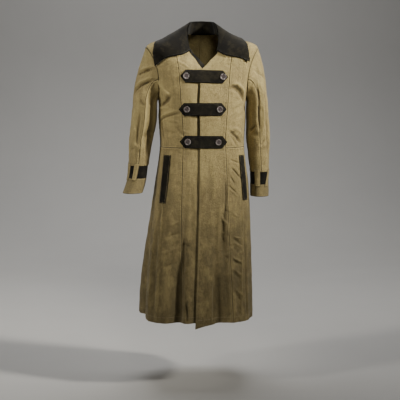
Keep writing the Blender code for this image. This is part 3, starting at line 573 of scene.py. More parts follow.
def ripple(across, along, seed):
    """Uneven low waves between about -1 and 1, over two distances in mm."""
    waves = np.zeros(np.broadcast(across, along).shape)
    for k, (size, weight) in enumerate(((71, 0.4), (43, 0.3), (27, 0.2), (17, 0.1))):
        turn = 2.4 * k + seed
        u = across * math.cos(turn) + along * math.sin(turn)
        v = along * math.cos(turn) - across * math.sin(turn)
        waves += weight * np.sin(2 * math.pi * u / size + 1.7 * seed) * np.cos(v / size * 2.1 + k)
    return waves


def crease_height(across, along, rows, scale_of, wrap=False):
    """How far the given creases move the cloth out, in mm."""
    height = np.zeros(np.broadcast(across, along).shape)
    for a_0, l_0, a_1, l_1, width, depth, bow, sharp in rows:
        scale = scale_of((a_0 + a_1) / 2, (l_0 + l_1) / 2)
        start = np.array((a_0 * scale, l_0))
        run = np.array((a_1 * scale, l_1)) - start
        length = float(np.linalg.norm(run))
        run /= length
        u = (turned(across - a_0) if wrap else across - a_0) * scale
        v = along - l_0
        t = (u * run[0] + v * run[1]) / length
        off = u * run[1] - v * run[0] - bow * 4 * t * (1 - t)
        near = off / np.where(off > 0, width * sharp, width)
        taper = ease((t + 0.12) / 0.37) * ease((1.12 - t) / 0.37)
        height += depth * taper * (1 - 0.55 * near**2) * np.exp(-(near**2))
    return height


def plain_radius(angle, level):
    row = SECTIONS(level)
    s, c = np.sin(np.radians(angle)), np.cos(np.radians(angle))
    depth = np.where(c > 0, row[..., 1], row[..., 2])
    power = row[..., 7]
    total = np.abs(s / (row[..., 0] * MM)) ** power + np.abs(c / (depth * MM)) ** power
    return total ** (-1 / power)


def fold_height(angle, level):
    height = np.zeros(np.broadcast(angle, level).shape)
    for fold_angle, half_angle, depth, start, drift in FOLDS:
        growth = ease((level - start) / (HEM - start))
        near = turned(angle - fold_angle - drift * (1 - growth)) / half_angle
        height += depth * MM * growth * hump(near)
    for drag_angle, drag_level, half_angle, half_level, depth, slant in DRAGS:
        across = turned(angle - drag_angle)
        along = (level - drag_level - slant * across) / half_level
        height += depth * MM * hump(across / half_angle) * hump(along)
    return height


def form_point(angle, level):
    """The outer face of the cloth of the solids at an angle and a level."""
    angle, level = np.asarray(angle, float), np.asarray(level, float)
    row = SECTIONS(level) * MM
    s, c = np.sin(np.radians(angle)), np.cos(np.radians(angle))
    radius = plain_radius(angle, level) + fold_height(angle, level)
    z = row[..., 4] * s * s + np.where(c > 0, row[..., 3], row[..., 5]) * c * c
    return np.stack((radius * s, row[..., 6] - radius * c, z), axis=-1)


def form_normal(angle, level):
    turn, drop = 0.8, 4.0
    across = form_point(angle + turn, level) - form_point(angle - turn, level)
    down = form_point(angle, level + drop) - form_point(angle, np.maximum(level - drop, 0.0))
    return unit(np.cross(across, -down))


def body_scale(angle, level):
    """Millimetres of cloth for each degree at a place of the form."""
    return float(plain_radius(angle, level)) / MM * math.pi / 180


def angle_at(x, level):
    """The front angle where the unfolded form is x from the centre line."""
    x, level = np.broadcast_arrays(np.asarray(x, float), np.asarray(level, float))
    low, high = np.full(x.shape, -88.0), np.full(x.shape, 88.0)
    for _ in range(32):
        middle = (low + high) / 2
        below = plain_radius(middle, level) * np.sin(np.radians(middle)) < x
        low, high = np.where(below, middle, low), np.where(below, high, middle)
    return (low + high) / 2


def all_creases():
    """The creases of the body, with the front's places turned into angles."""
    rows = list(CREASES)
    for side, x_0, level_0, x_1, level_1, *form in FRONT_CREASES:
        ends = angle_at(np.array((x_0, x_1)) * MM, np.array((level_0, level_1))) * side
        rows.append((ends[0], level_0, ends[1], level_1, *form))
    return rows


def place_on_front(x, z):
    """Angles and levels of the front points that stand at x and z."""
    angle = np.clip(x / 0.13, -1, 1) * 50
    level = LEVEL_OF_ORIGIN - z / MM
    for _ in range(25):
        here = form_point(angle, level)
        by_angle = (form_point(angle + 0.5, level) - here) / 0.5
        by_level = form_point(angle, level + 1.0) - here
        a, b, c, d = by_angle[..., 0], by_level[..., 0], by_angle[..., 2], by_level[..., 2]
        p, q = x - here[..., 0], z - here[..., 2]
        det = a * d - b * c
        angle = angle + np.clip((p * d - b * q) / det, -8, 8)
        level = level + np.clip((a * q - c * p) / det, -30, 30)
    return angle, level


def on_front(x, z, lift):
    """Points above the front, with the outward directions there."""
    angle, level = place_on_front(x, z)
    out = form_normal(angle, level)
    return form_point(angle, level) + out * lift, out


def spread(length, lines, step, far_lines=None):
    """Distances over a length: close together at both edges, even between."""
    near = np.array(lines) * MM
    far = np.array(lines if far_lines is None else far_lines) * MM
    room = length - near[-1] - far[-1]
    count = max(int(round(float(np.max(room)) / step)), 2)
    inner = near[-1] + np.asarray(room)[..., None] * np.linspace(0, 1, count + 1)[1:-1]
    ends = np.broadcast_to(near, np.shape(length) + near.shape)
    tail = np.asarray(length)[..., None] - far[::-1]
    return np.concatenate((ends, inner, tail), axis=-1)


def distances(points):
    """How far each point of a grid is from its first row and from its first column."""
    down = np.linalg.norm(np.diff(points, axis=0), axis=2)
    across = np.linalg.norm(np.diff(points, axis=1), axis=2)
    down = np.concatenate((np.zeros((1, down.shape[1])), np.cumsum(down, axis=0)))
    across = np.concatenate((np.zeros((across.shape[0], 1)), np.cumsum(across, axis=1)), axis=1)
    return down, across


def rims(points):
    """Distances in mm from a grid's first row and column, and from the nearest of its edges."""
    down, across = (value / MM for value in distances(points))
    edge = np.minimum(np.minimum(down, down[-1:] - down), np.minimum(across, across[:, -1:] - across))
    return down, across, edge


def link(name, data):
    """A new object in the scene."""
    obj = bpy.data.objects.new(name, data)
    bpy.context.scene.collection.objects.link(obj)
    return obj


def add_piece(name, mesh, finish, solid=None):
    obj = link(name, mesh)
    mesh.materials.clear()
    mesh.materials.append(FINISHES[finish]())
    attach(obj, BODY)
    if solid:
        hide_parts(solid)
    return obj


def piece_from_grid(name, outer, inner, finish, solid, looks, closed=False):
    """A closed shell between two grids, with a map in metres of cloth and the looks of its face."""
    rows, columns = outer.shape[:2]
    over = np.arange(rows * columns).reshape(rows, columns)
    if closed:
        over = np.concatenate((over, over[:, :1]), axis=1)
    under = over + rows * columns
    quads = [
        (over[:-1, :-1], over[:-1, 1:], over[1:, 1:], over[1:, :-1]),
        (under[:-1, :-1], under[1:, :-1], under[1:, 1:], under[:-1, 1:]),
        (over[0, 1:], over[0, :-1], under[0, :-1], under[0, 1:]),
        (over[-1, :-1], over[-1, 1:], under[-1, 1:], under[-1, :-1]),
    ]
    if not closed:
        quads.append((over[:-1, 0], over[1:, 0], under[1:, 0], under[:-1, 0]))
        quads.append((over[1:, -1], over[:-1, -1], under[:-1, -1], under[1:, -1]))
    faces = np.concatenate([np.stack(corners, -1).reshape(-1, 4) for corners in quads])
    points = np.concatenate((outer.reshape(-1, 3), inner.reshape(-1, 3)))
    first = points[faces[0]]
    facing = np.cross(first[1] - first[0], first[3] - first[0])
    if facing @ (outer[0, 0] - inner[0, 0]) < 0:
        faces = faces[:, ::-1]
    mesh = bpy.data.meshes.new(name)
    mesh.from_pydata(points.tolist(), [], faces.tolist())
    mesh.update()
    down, across = distances(outer)
    flat = np.tile(np.stack((across, -down), axis=-1).reshape(-1, 2), (2, 1))
    corners = np.zeros(len(mesh.loops), np.int32)
    mesh.loops.foreach_get("vertex_index", corners)
    mesh.uv_layers.new(name="cloth").data.foreach_set("uv", flat[corners].astype(np.float32).ravel())
    for attribute, values in looks.items():
        layer = mesh.attributes.new(attribute, "FLOAT", "POINT")
        layer.data.foreach_set("value", np.tile(values.ravel(), 2).astype(np.float32))
    mesh.shade_smooth()
    mesh.set_sharp_from_angle(angle=SHARP_EDGE)
    return add_piece(name, mesh, finish, solid)


def suede_piece(name, outer, inner, solid, edge, rise, **sheet):
    """A suede shell. Its flat size and the other sheet values are not used."""
    piece = piece_from_grid(name, outer, inner, "suede", solid, {"edge_mm": edge, "rise_mm": rise})


def sew(thread, points, normals, index, lift=0.25 * MM):
    """Notes a line of stitches that the sewing is made along: a row or a column of a grid."""
    SEWING[thread].append(points[index] + normals[index] * lift)


def edge_relief(distance, kind):
    """How far a kind of edge moves the face of the cloth out, in mm."""
    raised, raised_to, fade, dip, dip_width, line, line_at, line_width = EDGE_FORMS[kind]
    relief = raised * (1 - ease((distance - raised_to) / fade)) - dip * rounded(distance, dip_width)
    return relief + line * hump((distance - line_at) / line_width)


def make_panel(kind, side, points, normals, creases, edges, shade=0.0):
    """A panel of twill on a grid: uneven between its edges, with each edge formed by its kind."""
    piece, solid, wall, seed, calm, width, length, area_right, area_left = PANELS[kind]
    seed += side
    down, across = (value / MM for value in distances(points))
    places = {
        "top": (down, across),
        "bottom": (down[-1:] - down, across),
        "first": (across, down),
        "last": (across[:, -1:] - across, down),
    }
    relief = UNEVEN * (1 - calm) * ripple(across, down * 0.7, seed)
    nearest = look = np.full(points.shape[:2], 1000.0)
    thick = np.full(points.shape[:2], wall)
    for edge, form in edges.items():
        distance, along = places[edge]
        free = form in ("hem", "free")
        nearest = np.minimum(nearest, distance)
        # Free edges count PALE_EDGE mm further off in edge_mm, so the twill puts no painted seam shade on
        # them but a paler band, partly wear and partly painted highlight, along the rolled edge
        look = np.minimum(look, distance + PALE_EDGE * free)
        wave = np.sin(along * 0.42 + 2.0 * np.sin(along * 0.071 + seed) + seed)
        relief = relief * ease(distance / 14 + 0.15) + edge_relief(distance, form)
        relief = relief + PUCKER * wave * rounded(distance - PUCKER_AT, PUCKER_WIDTH)
        # A sunk seam gets painted shadow along its groove
        if form == "sunk":
            shade = np.maximum(shade, 0.92 * (1 - ease((distance - 1.5) / 3.5)))
        if free:
            thick = thick + FREE_EDGE_WALL * (1 - ease((distance - 6) / 4))
    shell = points + normals * (relief * MM)[..., None]
    inner = shell - normals * (thick * (1 - 0.5 * rounded(nearest)) * MM)[..., None]
    looks = {"edge_mm": np.minimum(look, 60.0), "rise_mm": relief + creases, "shade": shade + 0.0 * nearest}
    word = WORDS[side]
    obj = piece_from_grid(piece.format(word), shell, inner, "twill", solid.format(word), looks)
    area = area_left if side > 0 else area_right
    return shell, normals


# Seam lines of the body, each as angles and levels at row positions


def princess_line(t, levels, top=()):
    level = np.interp(t, np.arange(len(levels)), levels)
    angle = angle_at(PRINCESS(level)[..., 0] * MM, level)
    if top:
        marks = np.arange(len(top) + 1)
        join = levels[len(top)]
        join_angle = float(angle_at(float(PRINCESS(join)[0]) * MM, join))
        knots = Table([(k, *place) for k, place in zip(marks, (*top, (join_angle, join)))])
        early, smooth = t < len(top), knots(np.minimum(t, len(top)))
        angle, level = np.where(early, smooth[:, 0], angle), np.where(early, smooth[:, 1], level)
    return np.stack((angle, level), axis=1)


def armhole(step, reach):
    angle = SIDE_ANGLE - reach * np.sin(math.pi * step)
    share = (1 - np.cos(math.pi * step)) / 2
    return np.stack((angle, SHOULDER_TIP + (ARMPIT - SHOULDER_TIP) * share), axis=-1)


def side_line(t, reach):
    hole = armhole(np.minimum(t / ARMHOLE_STEPS, 1.0), reach)
    below = len(UPPER_LEVELS) - 1 - ARMHOLE_STEPS
    level = ARMPIT + (WAIST - ARMPIT) * np.clip((t - ARMHOLE_STEPS) / below, 0, 1)
    seam = np.stack((np.full(t.shape, SIDE_ANGLE), level), axis=1)
    return np.where((t <= ARMHOLE_STEPS)[:, None], hole, seam)


def straight_line(t, places):
    places = np.array(places, float)
    marks = np.arange(len(places))
    return np.stack((np.interp(t, marks, places[:, 0]), np.interp(t, marks, places[:, 1])), axis=1)


def skirt_line(t, angle):
    level = np.interp(t, np.arange(len(SKIRT_LEVELS)), SKIRT_LEVELS)
    return np.stack((np.full(t.shape, angle), level), axis=1)


def front_edge(t, side):
    """A front's inner edge: the neckline, the opening, then the free edge to the hem."""
    edge = EDGE_LEFT if side > 0 else EDGE_RIGHT
    neck = straight_line(t, (*NECKLINE, (float(angle_at(float(edge(60)[0]), 60)), 60)))
    levels = (*OPENING_LEVELS, *SKIRT_LEVELS[1:])
    level = np.interp(t, np.arange(3, 3 + len(levels)), levels)
    angle = angle_at(edge(level)[..., 0], level)
    drop = TIP_DROP * ease((level - WAIST) / (HEM - WAIST)) if side > 0 else 0.0
    opening = np.stack((angle, level + drop), axis=1)
    return np.where((t < 3)[:, None], neck, opening)


def gape(level):
    """How far the fronts stand apart along the opening, from 0 to 1: most between the tabs."""
    between = ease((58 - abs(level - 285)) / 14) * 0.85 + ease((58 - abs(level - 421)) / 14)
    return between + 0.28 * ease((level - 505) / 30)


def sink_of(side, x, level):
    """How deep the under front lies below the lapping one, and how much painted shadow of the gap lies on it.
    """
    if side > 0:
        return 0.0 * x, 0.0 * x
    edge = EDGE_LEFT(np.maximum(level, 124))[..., 0]
    sink = LAP_SINK * ease((x - edge + LAP_SINK_BEFORE_EDGE) / LAP_SINK_RISE)
    near = ease((x - edge + GAPE_WIDTH) / (0.4 * GAPE_WIDTH)) * ease((level - 118) / 10)
    return sink + GAPE_DEPTH * gape(level) * near, near * np.minimum(gape(level) + 0.3, 1.0)


def row_marks(count, levels, top_lines, bottom_lines):
    """Row positions of a panel: even steps, with close rows at its top and bottom edges."""
    top = np.array(top_lines) / abs(levels[1] - levels[0])
    bottom = np.array(bottom_lines) / abs(levels[-1] - levels[-2])
    last = len(levels) - 1
    inner = np.linspace(top[-1], last - bottom[-1], count)[1:-1]
    return np.concatenate((top, inner, last - bottom[::-1]))


def panel_grid(first, second, sides_mm=SEAM_LINES):
    """Places between two seam lines, with columns close together along both."""
    width = np.linalg.norm(form_point(*first.T) - form_point(*second.T), axis=1)
    steps = spread(width, sides_mm, CLOTH_STEP) / width[:, None]
    return first[:, None] + (second - first)[:, None] * steps[..., None]


def panel_points(places, side, sink=False):
    angle, level = places[..., 0] * side, places[..., 1]
    normals = form_normal(angle, level)
    points = form_point(angle, level)
    if sink:
        points = points - normals * sink_of(side, points[..., 0], level)[0][..., None]
    height = crease_height(angle, level, all_creases(), body_scale, wrap=True) * CREASE_GAIN
    # The folds' share of rise_mm: the twill paints it as shade in the troughs and as a highlight on the
    # crests
    folded = np.clip(fold_height(angle, level) / MM * FOLD_SHADE, *FOLD_SHADE_RANGE)
    return points + normals * (height * MM)[..., None], normals, height + folded


def body_panel(kind, side, places, edges, **more):
    return make_panel(kind, side, *panel_points(places, side, kind == "front"), edges, **more)


def make_centre_front(side):
    levels = (*UPPER_LEVELS, *SKIRT_LEVELS[1:])
    t = row_marks(290, levels, (0, 0.8, 2.5, 5), HEM_LINES)
    first, second = front_edge(t, side), princess_line(t, levels, PRINCESS_TOP)
    places = panel_grid(first, second)
    if side > 0:
        span = (second - first)[:, None, 0]
        share = (places[..., 0] - first[:, None, 0]) / np.where(span == 0, 1.0, span)
        curved = HEM + (first[:, None, 1] - HEM) * (1 - share) ** 2
        late = np.clip(t - (len(levels) - 2), 0, 1)[:, None]
        above_hem = (late - 1) * (SKIRT_LEVELS[-1] - SKIRT_LEVELS[-2])
        places[..., 1] = places[..., 1] * (1 - late) + (curved + above_hem) * late
    # The painted shadow of the gap between the fronts, carried as the shade attribute
    shade = sink_of(side, form_point(places[..., 0] * side, places[..., 1])[..., 0], places[..., 1])[1]
    edges = {"top": "seam", "first": "free", "last": "lapped", "bottom": "hem"}
    shell, normals = body_panel("front", side, places, edges, shade=shade)
    for column in (-1 - NEAR_STITCH, -1 - FAR_STITCH):
        sew("tan", shell, normals, np.s_[3:-1, column])
    sew("tan", shell, normals, np.s_[12:-1, FAR_STITCH - 1])
    sew("tan", shell, normals, -1 - HEM_STITCH)


def make_side_front(side):
    t = row_marks(100, UPPER_LEVELS, SEAM_ROWS, SEAM_ROWS)
    places = panel_grid(princess_line(t, UPPER_LEVELS, PRINCESS_TOP), side_line(t, ARMHOLE_FRONT))
    edges = {"top": "seam", "bottom": "seam", "first": "seam", "last": "sunk"}
    sew("tan", *body_panel("side_front", side, places, edges), -1 - NEAR_STITCH)
    t = row_marks(175, SKIRT_LEVELS, SEAM_ROWS, HEM_LINES)
    places = panel_grid(princess_line(t, SKIRT_LEVELS), skirt_line(t, SIDE_ANGLE))
    edges = {"top": "lapped", "bottom": "hem", "first": "seam", "last": "seam"}
    shell, normals = body_panel("side_skirt", side, places, edges)
    sew("tan", shell, normals, NEAR_STITCH)
    sew("tan", shell, normals, -1 - HEM_STITCH)


def make_back(side):
    centre = "lapped" if side > 0 else "seam"
    t = row_marks(105, UPPER_LEVELS, SEAM_ROWS, SEAM_ROWS)
    places = panel_grid(straight_line(t, BACK_MIDDLE), side_line(t, -ARMHOLE_BACK))
    edges = {"top": "lapped", "bottom": "seam", "first": centre, "last": "sunk"}
    sew("tan", *body_panel("back", side, places, edges), NEAR_STITCH)
    t = row_marks(150, SKIRT_LEVELS, SEAM_ROWS, HEM_LINES)
    places = panel_grid(skirt_line(t, 180.0), skirt_line(t, SIDE_ANGLE))
    edges = {"top": "lapped", "bottom": "hem", "first": centre, "last": "lapped"}
    shell, normals = body_panel("back_skirt", side, places, edges)
    for line in (NEAR_STITCH, FAR_STITCH):
        sew("tan", shell, normals, np.s_[1:-1, -1 - line])
    sew("tan", shell, normals, NEAR_STITCH)
    sew("tan", shell, normals, -1 - HEM_STITCH)
    if side > 0:
        for line in (NEAR_STITCH, FAR_STITCH):
            sew("tan", shell, normals, np.s_[1:-1, line])


def sleeve_point(side, turn, z):
    """The sleeve below the cap, at a turn from its outer side towards the front."""
    turn, z = np.broadcast_arrays(np.asarray(turn, float), np.asarray(z, float))
    row = SLEEVES[side](z / MM) * MM
    a = np.radians(turn)
    swell = np.zeros(turn.shape)
    for swell_turn, swell_z, half_turn, half_z, depth, slant in SLEEVE_SWELLS:
        across = turned(turn - swell_turn)
        along = (z / MM - swell_z - slant * across) / half_z
        swell += depth * MM * hump(across / half_turn) * hump(along)
    x = row[..., 0] + (row[..., 1] + swell) * np.cos(a)
    y = row[..., 2] - (row[..., 3] + swell) * np.sin(a)
    return np.stack((side * x, y, z), axis=-1)


def sleeve_turn(share):
    shares = (0.0, FRONT_SEAM_SHARE, 0.5, 1 - FRONT_SEAM_SHARE, 1.0)
    turns = (0.0, FRONT_SEAM_TURN, 180.0, 360 - FRONT_SEAM_TURN, 360.0)
    return np.interp(share, shares, turns)


def armhole_ring(side, shares):
    """Points of the armhole edge, with the direction in which the sleeve leaves each."""

    def edge(share):
        share = share % 1.0
        front = armhole(2 * share, ARMHOLE_FRONT)
        back = armhole(2 * (1 - share), -ARMHOLE_BACK)
        place = np.where((share <= 0.5)[:, None], front, back)
        return side * place[:, 0], place[:, 1]

    points, normals = form_point(*edge(shares)), form_normal(*edge(shares))
    step = 1 / 28
    along = unit(form_point(*edge(shares + step)) - form_point(*edge(shares - step)))
    inward = unit(np.cross(normals, along))
    whole = np.linspace(0, 1, 56, endpoint=False)
    towards = form_point(*edge(whole)).mean(axis=0) - points
    inward *= np.sign((inward * towards).sum(axis=1))[:, None]
    near = np.minimum(shares % 1.0, 1 - shares % 1.0)
    tilt = (ease(3 * near - 0.5) * math.pi / 2)[:, None]
    return points, inward * np.cos(tilt) + normals * np.sin(tilt)


def sleeve_rings(side, shares):
    """Rows of a sleeve from the armhole to the top of the wrist band, at shares of the way round."""
    ring, leave = armhole_ring(side, shares)
    turns = sleeve_turn(shares % 1.0)
    biceps = sleeve_point(side, turns, np.full(turns.shape, BICEPS))
    span = np.linalg.norm(biceps - ring, axis=1, keepdims=True)
    down = np.array((0.0, 0.0, -1.0))
    rows = []
    for t in (0.0, 0.006, 0.015, 0.03, 0.05, *np.linspace(0.08, 1, 26)[:-1]):
        a, b = 2 * t**3 - 3 * t**2 + 1, t**3 - 2 * t**2 + t
        c, d = 3 * t**2 - 2 * t**3, t**3 - t**2
        rows.append(a * ring + b * span * leave + c * biceps + d * span * down)
    low = BAND_TOP[side] + 0.016
    heights = [*np.linspace(BICEPS, low, 48)]
    heights += [BAND_TOP[side] + gap * MM for gap in (11.5, 8, 5.4, 3.4, 1.8, 0.7, 0.15)]
    for z in heights:
        rows.append(sleeve_point(side, turns, np.full(turns.shape, z)))
    return np.array(rows), np.tile(turns, (len(rows), 1))


def grid_normals(points, outward):
    """Outward directions on a grid, from its neighbours."""
    across = np.gradient(points, axis=1)
    down = np.gradient(points, axis=0)
    normals = unit(np.cross(across, down))
    return normals * np.sign((normals * outward).sum(axis=2, keepdims=True))


def sleeve_outward(side, points):
    axis = np.zeros_like(points)
    z = np.clip(points[..., 2], -0.7, BICEPS)
    row = SLEEVES[side](z / MM) * MM
    axis[..., 0], axis[..., 1], axis[..., 2] = side * row[..., 0], row[..., 2], points[..., 2]
    return unit(points - axis)


def make_sleeve(side):
    halves = (
        # kind, start, end, edges, half_width
        ("under_sleeve", FRONT_SEAM_SHARE, 1 - FRONT_SEAM_SHARE, "seam", 0.18),
        ("upper_sleeve", 1 - FRONT_SEAM_SHARE, 1 + FRONT_SEAM_SHARE, "lapped", 0.20),
    )
    for kind, start, end, form, half_width in halves:
        shares = start + (end - start) * spread(half_width, SEAM_LINES, CLOTH_STEP) / half_width
        rings, turns = sleeve_rings(side, shares)
        normals = grid_normals(rings, sleeve_outward(side, rings))
        z = rings[..., 2] / MM
        rows = SLEEVE_CREASES[side]
        creases = crease_height(turns, z, rows, lambda turn, level: 1.0, wrap=True) * CREASE_GAIN
        rings = rings + normals * (creases * MM * ease((-z - 90) / 40))[..., None]
        edges = {"top": "sunk", "bottom": "free", "first": form, "last": form}
        shell, normals = make_panel(kind, side, rings, normals, creases, edges)
        sew("tan", shell, normals, -2 - NEAR_STITCH)
        if form == "lapped":
            for line in (NEAR_STITCH, -1 - NEAR_STITCH):
                sew("tan", shell, normals, np.s_[3:-1, line])


def wrist_ring(side, heights, columns=110):
    turns = np.linspace(0, 360, columns, endpoint=False)
    grid = sleeve_point(side, turns[None, :], np.asarray(heights)[:, None])
    around = np.roll(grid, -1, axis=1) - np.roll(grid, 1, axis=1)
    normals = unit(np.cross(around, np.gradient(grid, axis=0)))
    normals *= np.sign((normals * sleeve_outward(side, grid)).sum(axis=2, keepdims=True))
    return grid, normals, turns


def make_wrist(side):
    word = WORDS[side]
    top, bottom, low = BAND_TOP[side], BAND_BOTTOM[side], CUFF_EDGE[side]
    heights = top - np.array((0.3, 0.8, 1.6, *np.linspace(3, (top - bottom) / MM - 0.2, 14))) * MM
    grid, normals, turns = wrist_ring(side, heights)
    sag = ripple(turns[None, :] * 0.85, (heights / MM)[:, None], 8.0 + side)
    grid = grid + normals * ((0.5 * sag - 0.7) * MM)[..., None]
    edge = np.minimum(top - heights, heights - bottom) / MM
    looks = {"edge_mm": np.tile(edge[:, None], (1, len(turns))), "rise_mm": sag}
    band = piece_from_grid(f"wrist_band_{word}_suede", grid, grid - normals * 1.8 * MM, "suede",
                           f"wrist_band_{word}", looks, closed=True)
    length = (bottom - low) / MM
    lines = np.array((12, 9.5, 7.5, 5.4, 3.4, 1.6, 0.6, 0.0))
    drops = np.array((0.1, 0.7, 1.8, 3.4, 5.4, *np.linspace(8, length - lines[0], 5), *(length - lines[1:])))
    heights = bottom - drops * MM
    grid, normals, turns = wrist_ring(side, heights)
    depth, rise = (bottom - heights)[:, None] / MM, (heights - low)[:, None] / MM
    wave = ripple(turns[None, :] * 0.9, depth, 9.0 + side)
    relief = 0.7 * wave - 0.9 * rounded(depth) - 0.9 * rounded(rise) - 0.5 * hump((rise - 7.5) / 1.6)
    edge = np.minimum(depth, rise) + 0 * wave
    shell = grid + normals * (relief * MM)[..., None]
    inner = shell - normals * (2.6 * MM * (1 - 0.45 * rounded(edge)))[..., None]
    looks = {"edge_mm": edge, "rise_mm": relief, "shade": 0.3 + 0.0 * edge}
    cuff = piece_from_grid(f"cuff_{word}_cloth", shell, inner, "twill", f"cuff_{word}", looks, closed=True)
    shell, normals = (np.concatenate((grid, grid[:, :1]), axis=1) for grid in (shell, normals))
    for row in (3, -6):
        sew("tan", shell, normals, row)
    for name, top_turn, bottom_turn, width in LOOPS[side]:
        make_loop(f"wrist_loop_{name}_{word}", side, top_turn, bottom_turn, width)


def make_loop(name, side, top_turn, bottom_turn, width):
    """A strip of twill over the wrist band, from the sleeve to the cuff."""
    top, bottom = BAND_TOP[side] + LOOP_OVERLAP, BAND_BOTTOM[side] - LOOP_OVERLAP
    wide = width * 0.87 * MM
    z = (top - spread(top - bottom, TRIM_LINES, TRIM_STEP))[:, None]
    shares = spread(wide, TRIM_LINES[:5], 2.4 * MM) / wide
    middle = np.interp(-z, (-top, -bottom), (top_turn, bottom_turn))
    turn = middle + width * (shares[None, :] - 0.5)
    here = sleeve_point(side, turn, z)
    around = sleeve_point(side, turn + 2, z) - sleeve_point(side, turn - 2, z)
    down = sleeve_point(side, turn, z - 4 * MM) - sleeve_point(side, turn, z + 4 * MM)
    out = unit(np.cross(around, down)) * side
    edge = rims(here)[2]
    relief = 0.3 * (1 - rounded(edge, 1.2)) - 0.5 * rounded(edge)
    outer = here + out * ((LOOP_LIFT + 2.0 * MM) + relief * MM)[..., None]
    inner = here + out * (LOOP_LIFT + 0.5 * MM * rounded(edge))[..., None]
    looks = {"edge_mm": edge, "rise_mm": relief}
    loop = piece_from_grid(f"{name}_cloth", outer, inner, "twill", name, looks)
    for column in (3, -4):
        sew("tan", outer, out, np.s_[1:-1, column], 0.15 * MM)


def make_collar():
    up = np.array((0.0, 0.0, 1.0))
    half = spread(COLLAR_RUN, TRIM_LINES, CLOTH_STEP, (0.0,)) / COLLAR_RUN
    share = np.concatenate((half, half[-2::-1]))
    side = np.where(np.arange(len(share)) < len(half), -1.0, 1.0)
    angle = COLLAR_END_ANGLE + (180 - COLLAR_END_ANGLE) * share
    level = np.maximum(NECK_LEVELS(angle)[..., 0], 0.0)
    row = COLLAR(share)
    height = row[:, 0] * MM
    edge_angle = np.where(side > 0, row[:, 3], row[:, 1])
    edge_level = np.where(side > 0, row[:, 4], row[:, 2])
    bow = COLLAR_BOW * (1 - ease(share / COLLAR_BOW_SHARE))
    power = np.where(side > 0, COLLAR_FALL_POWER[1], COLLAR_FALL_POWER[-1])
    power = power + (COLLAR_BACK_POWER - power) * ease(share / COLLAR_BACK_SHARE)
    base = form_point(side * angle, level)
    out = unit(base * np.array((1.0, 1.0, 0.0)))
    t = spread(COLLAR_DROP, (0.0, 2.0, 5.0), 4.0 * MM, TRIM_LINES)[:, None] / COLLAR_DROP
    turn = t + (1 - np.cos(math.pi * t / 2) - t) * bow
    drop = t + (np.sin(math.pi * t / 2) - t) * bow
    angles = side * (angle + (edge_angle - angle) * turn)
    levels = level + (edge_level - level) * drop
    lift = COLLAR_LIFT + np.maximum(height - COLLAR_LIFT, 0.0) * (1 - t) ** power
    rise = unit(up * (1 - t)[..., None] + form_normal(angles, levels) * t[..., None])
    lean = COLLAR_LEAN * height * (1 - t) ** 2
    points = form_point(angles, levels) + rise * lift[..., None] - out * lean[..., None]
    normals = grid_normals(points, up)
    down, across = (value / MM for value in distances(points))
    edge = np.minimum(down[-1:] - down, np.minimum(across, across[:, -1:] - across))
    relief = COLLAR_UNEVEN * ripple(across * 0.8, down, 11.0)
    relief += COLLAR_SWAY * np.sin(across / 46 + 0.6) * ease(down / 120)
    relief -= COLLAR_CORNER * rounded(edge, 0.8) + COLLAR_GROOVE * hump((edge - 5.0) / 1.6)
    relief += COLLAR_ROLL * (1 - ease((edge - 6) / 4))
    outer = points + normals * (relief * MM)[..., None]
    inner = outer - normals * (COLLAR_WALL * MM * (1 - 0.5 * rounded(edge, 0.8)))[..., None]
    suede_piece("collar", outer, inner, "collar_fall", edge, relief,
                flat=(0.78, 0.24), held="draped", rests_on=["collar_band"], area=0.115)
    line = COLLAR_STITCH
    sew("dark", outer, normals, np.s_[-1 - line, line:-line])
    for column in (line, -1 - line):
        sew("dark", outer, normals, np.s_[2:-line, column])
    heights = np.array(STAND_SHARES)[:, None]
    base = base - out * STAND_INSET * MM + up * STAND_RISE
    tall = np.maximum(height - STAND_BELOW_ROLL, 0.0)
    stand = base + (up * heights[..., None] - out * COLLAR_LEAN * heights[..., None]) * tall[:, None]
    rows = heights * tall / MM
    edge = np.minimum(rows, tall / MM - rows)
    suede_piece("collar_band", stand, stand - out * STAND_WALL * MM, "collar_stand", edge, 0 * edge,
                flat=(0.50, 0.052), held="stretched", area=0.0205)


def make_neck_facing():
    """The dark strip that shows inside the right front's edge, from the collar to the top tab."""
    t = np.linspace(*FACING_SPAN, 80)
    edge_place = front_edge(t, -1)
    angle, level = -edge_place[:, 0], edge_place[:, 1]
    start, out = form_point(angle, level), form_normal(angle, level)
    inward = unit(np.cross(out, np.gradient(start, axis=0)))
    inward *= np.sign(inward @ np.array((1.0, 0.0, 0.6)))[:, None]
    width = FACING_WIDTH * MM * (1 - 0.6 * ease((t - 3.5) / 0.7))
    shares = np.array(FACING_SHARES)
    reach = width[:, None] * shares - FACING_UNDER * MM * (1 - shares)
    dip = (FACING_DIP + FACING_EXTRA_DIP * shares) * MM
    outer = start[:, None] + inward[:, None] * reach[..., None] - out[:, None] * dip[..., None]
    edge = distances(outer)[1] / MM
    edge = edge[:, -1:] - edge
    suede_piece("neck_facing", outer, outer - out[:, None] * FACING_WALL * MM, None, edge + 6, 0 * edge,
                flat=(0.030, 0.16), held="stretched", area=0.0032)


def tab_frame(tab, along, up):
    """A point of a tab in its own plane, as x and z of the coat."""
    _, z, x_mid, tilt, _, _ = tab
    a = math.radians(tilt)
    return x_mid + along * math.cos(a) - up * math.sin(a), z + along * math.sin(a) + up * math.cos(a)


def trim_strip(kind, face, out, edge, seed):
    """The two sides of a strip of suede: rolled edges, a groove for the stitches, an uneven middle."""
    wall, middle, corner, groove, uneven = TRIM_FORMS[kind]
    down, across = (value / MM for value in distances(face))
    swell = middle * ease(edge / 6) - corner * rounded(edge, 1.0)
    swell -= groove * hump((edge - TRIM_GROOVE_AT) / TRIM_GROOVE_WIDTH)
    swell += uneven * ripple(across, down, seed) * ease(edge / 8)
    outer = face + out * ((wall + swell) * MM)[..., None]
    inner = face + out * (TRIM_UNDERCUT * MM * rounded(edge, 1.0))[..., None]
    return outer, inner, swell


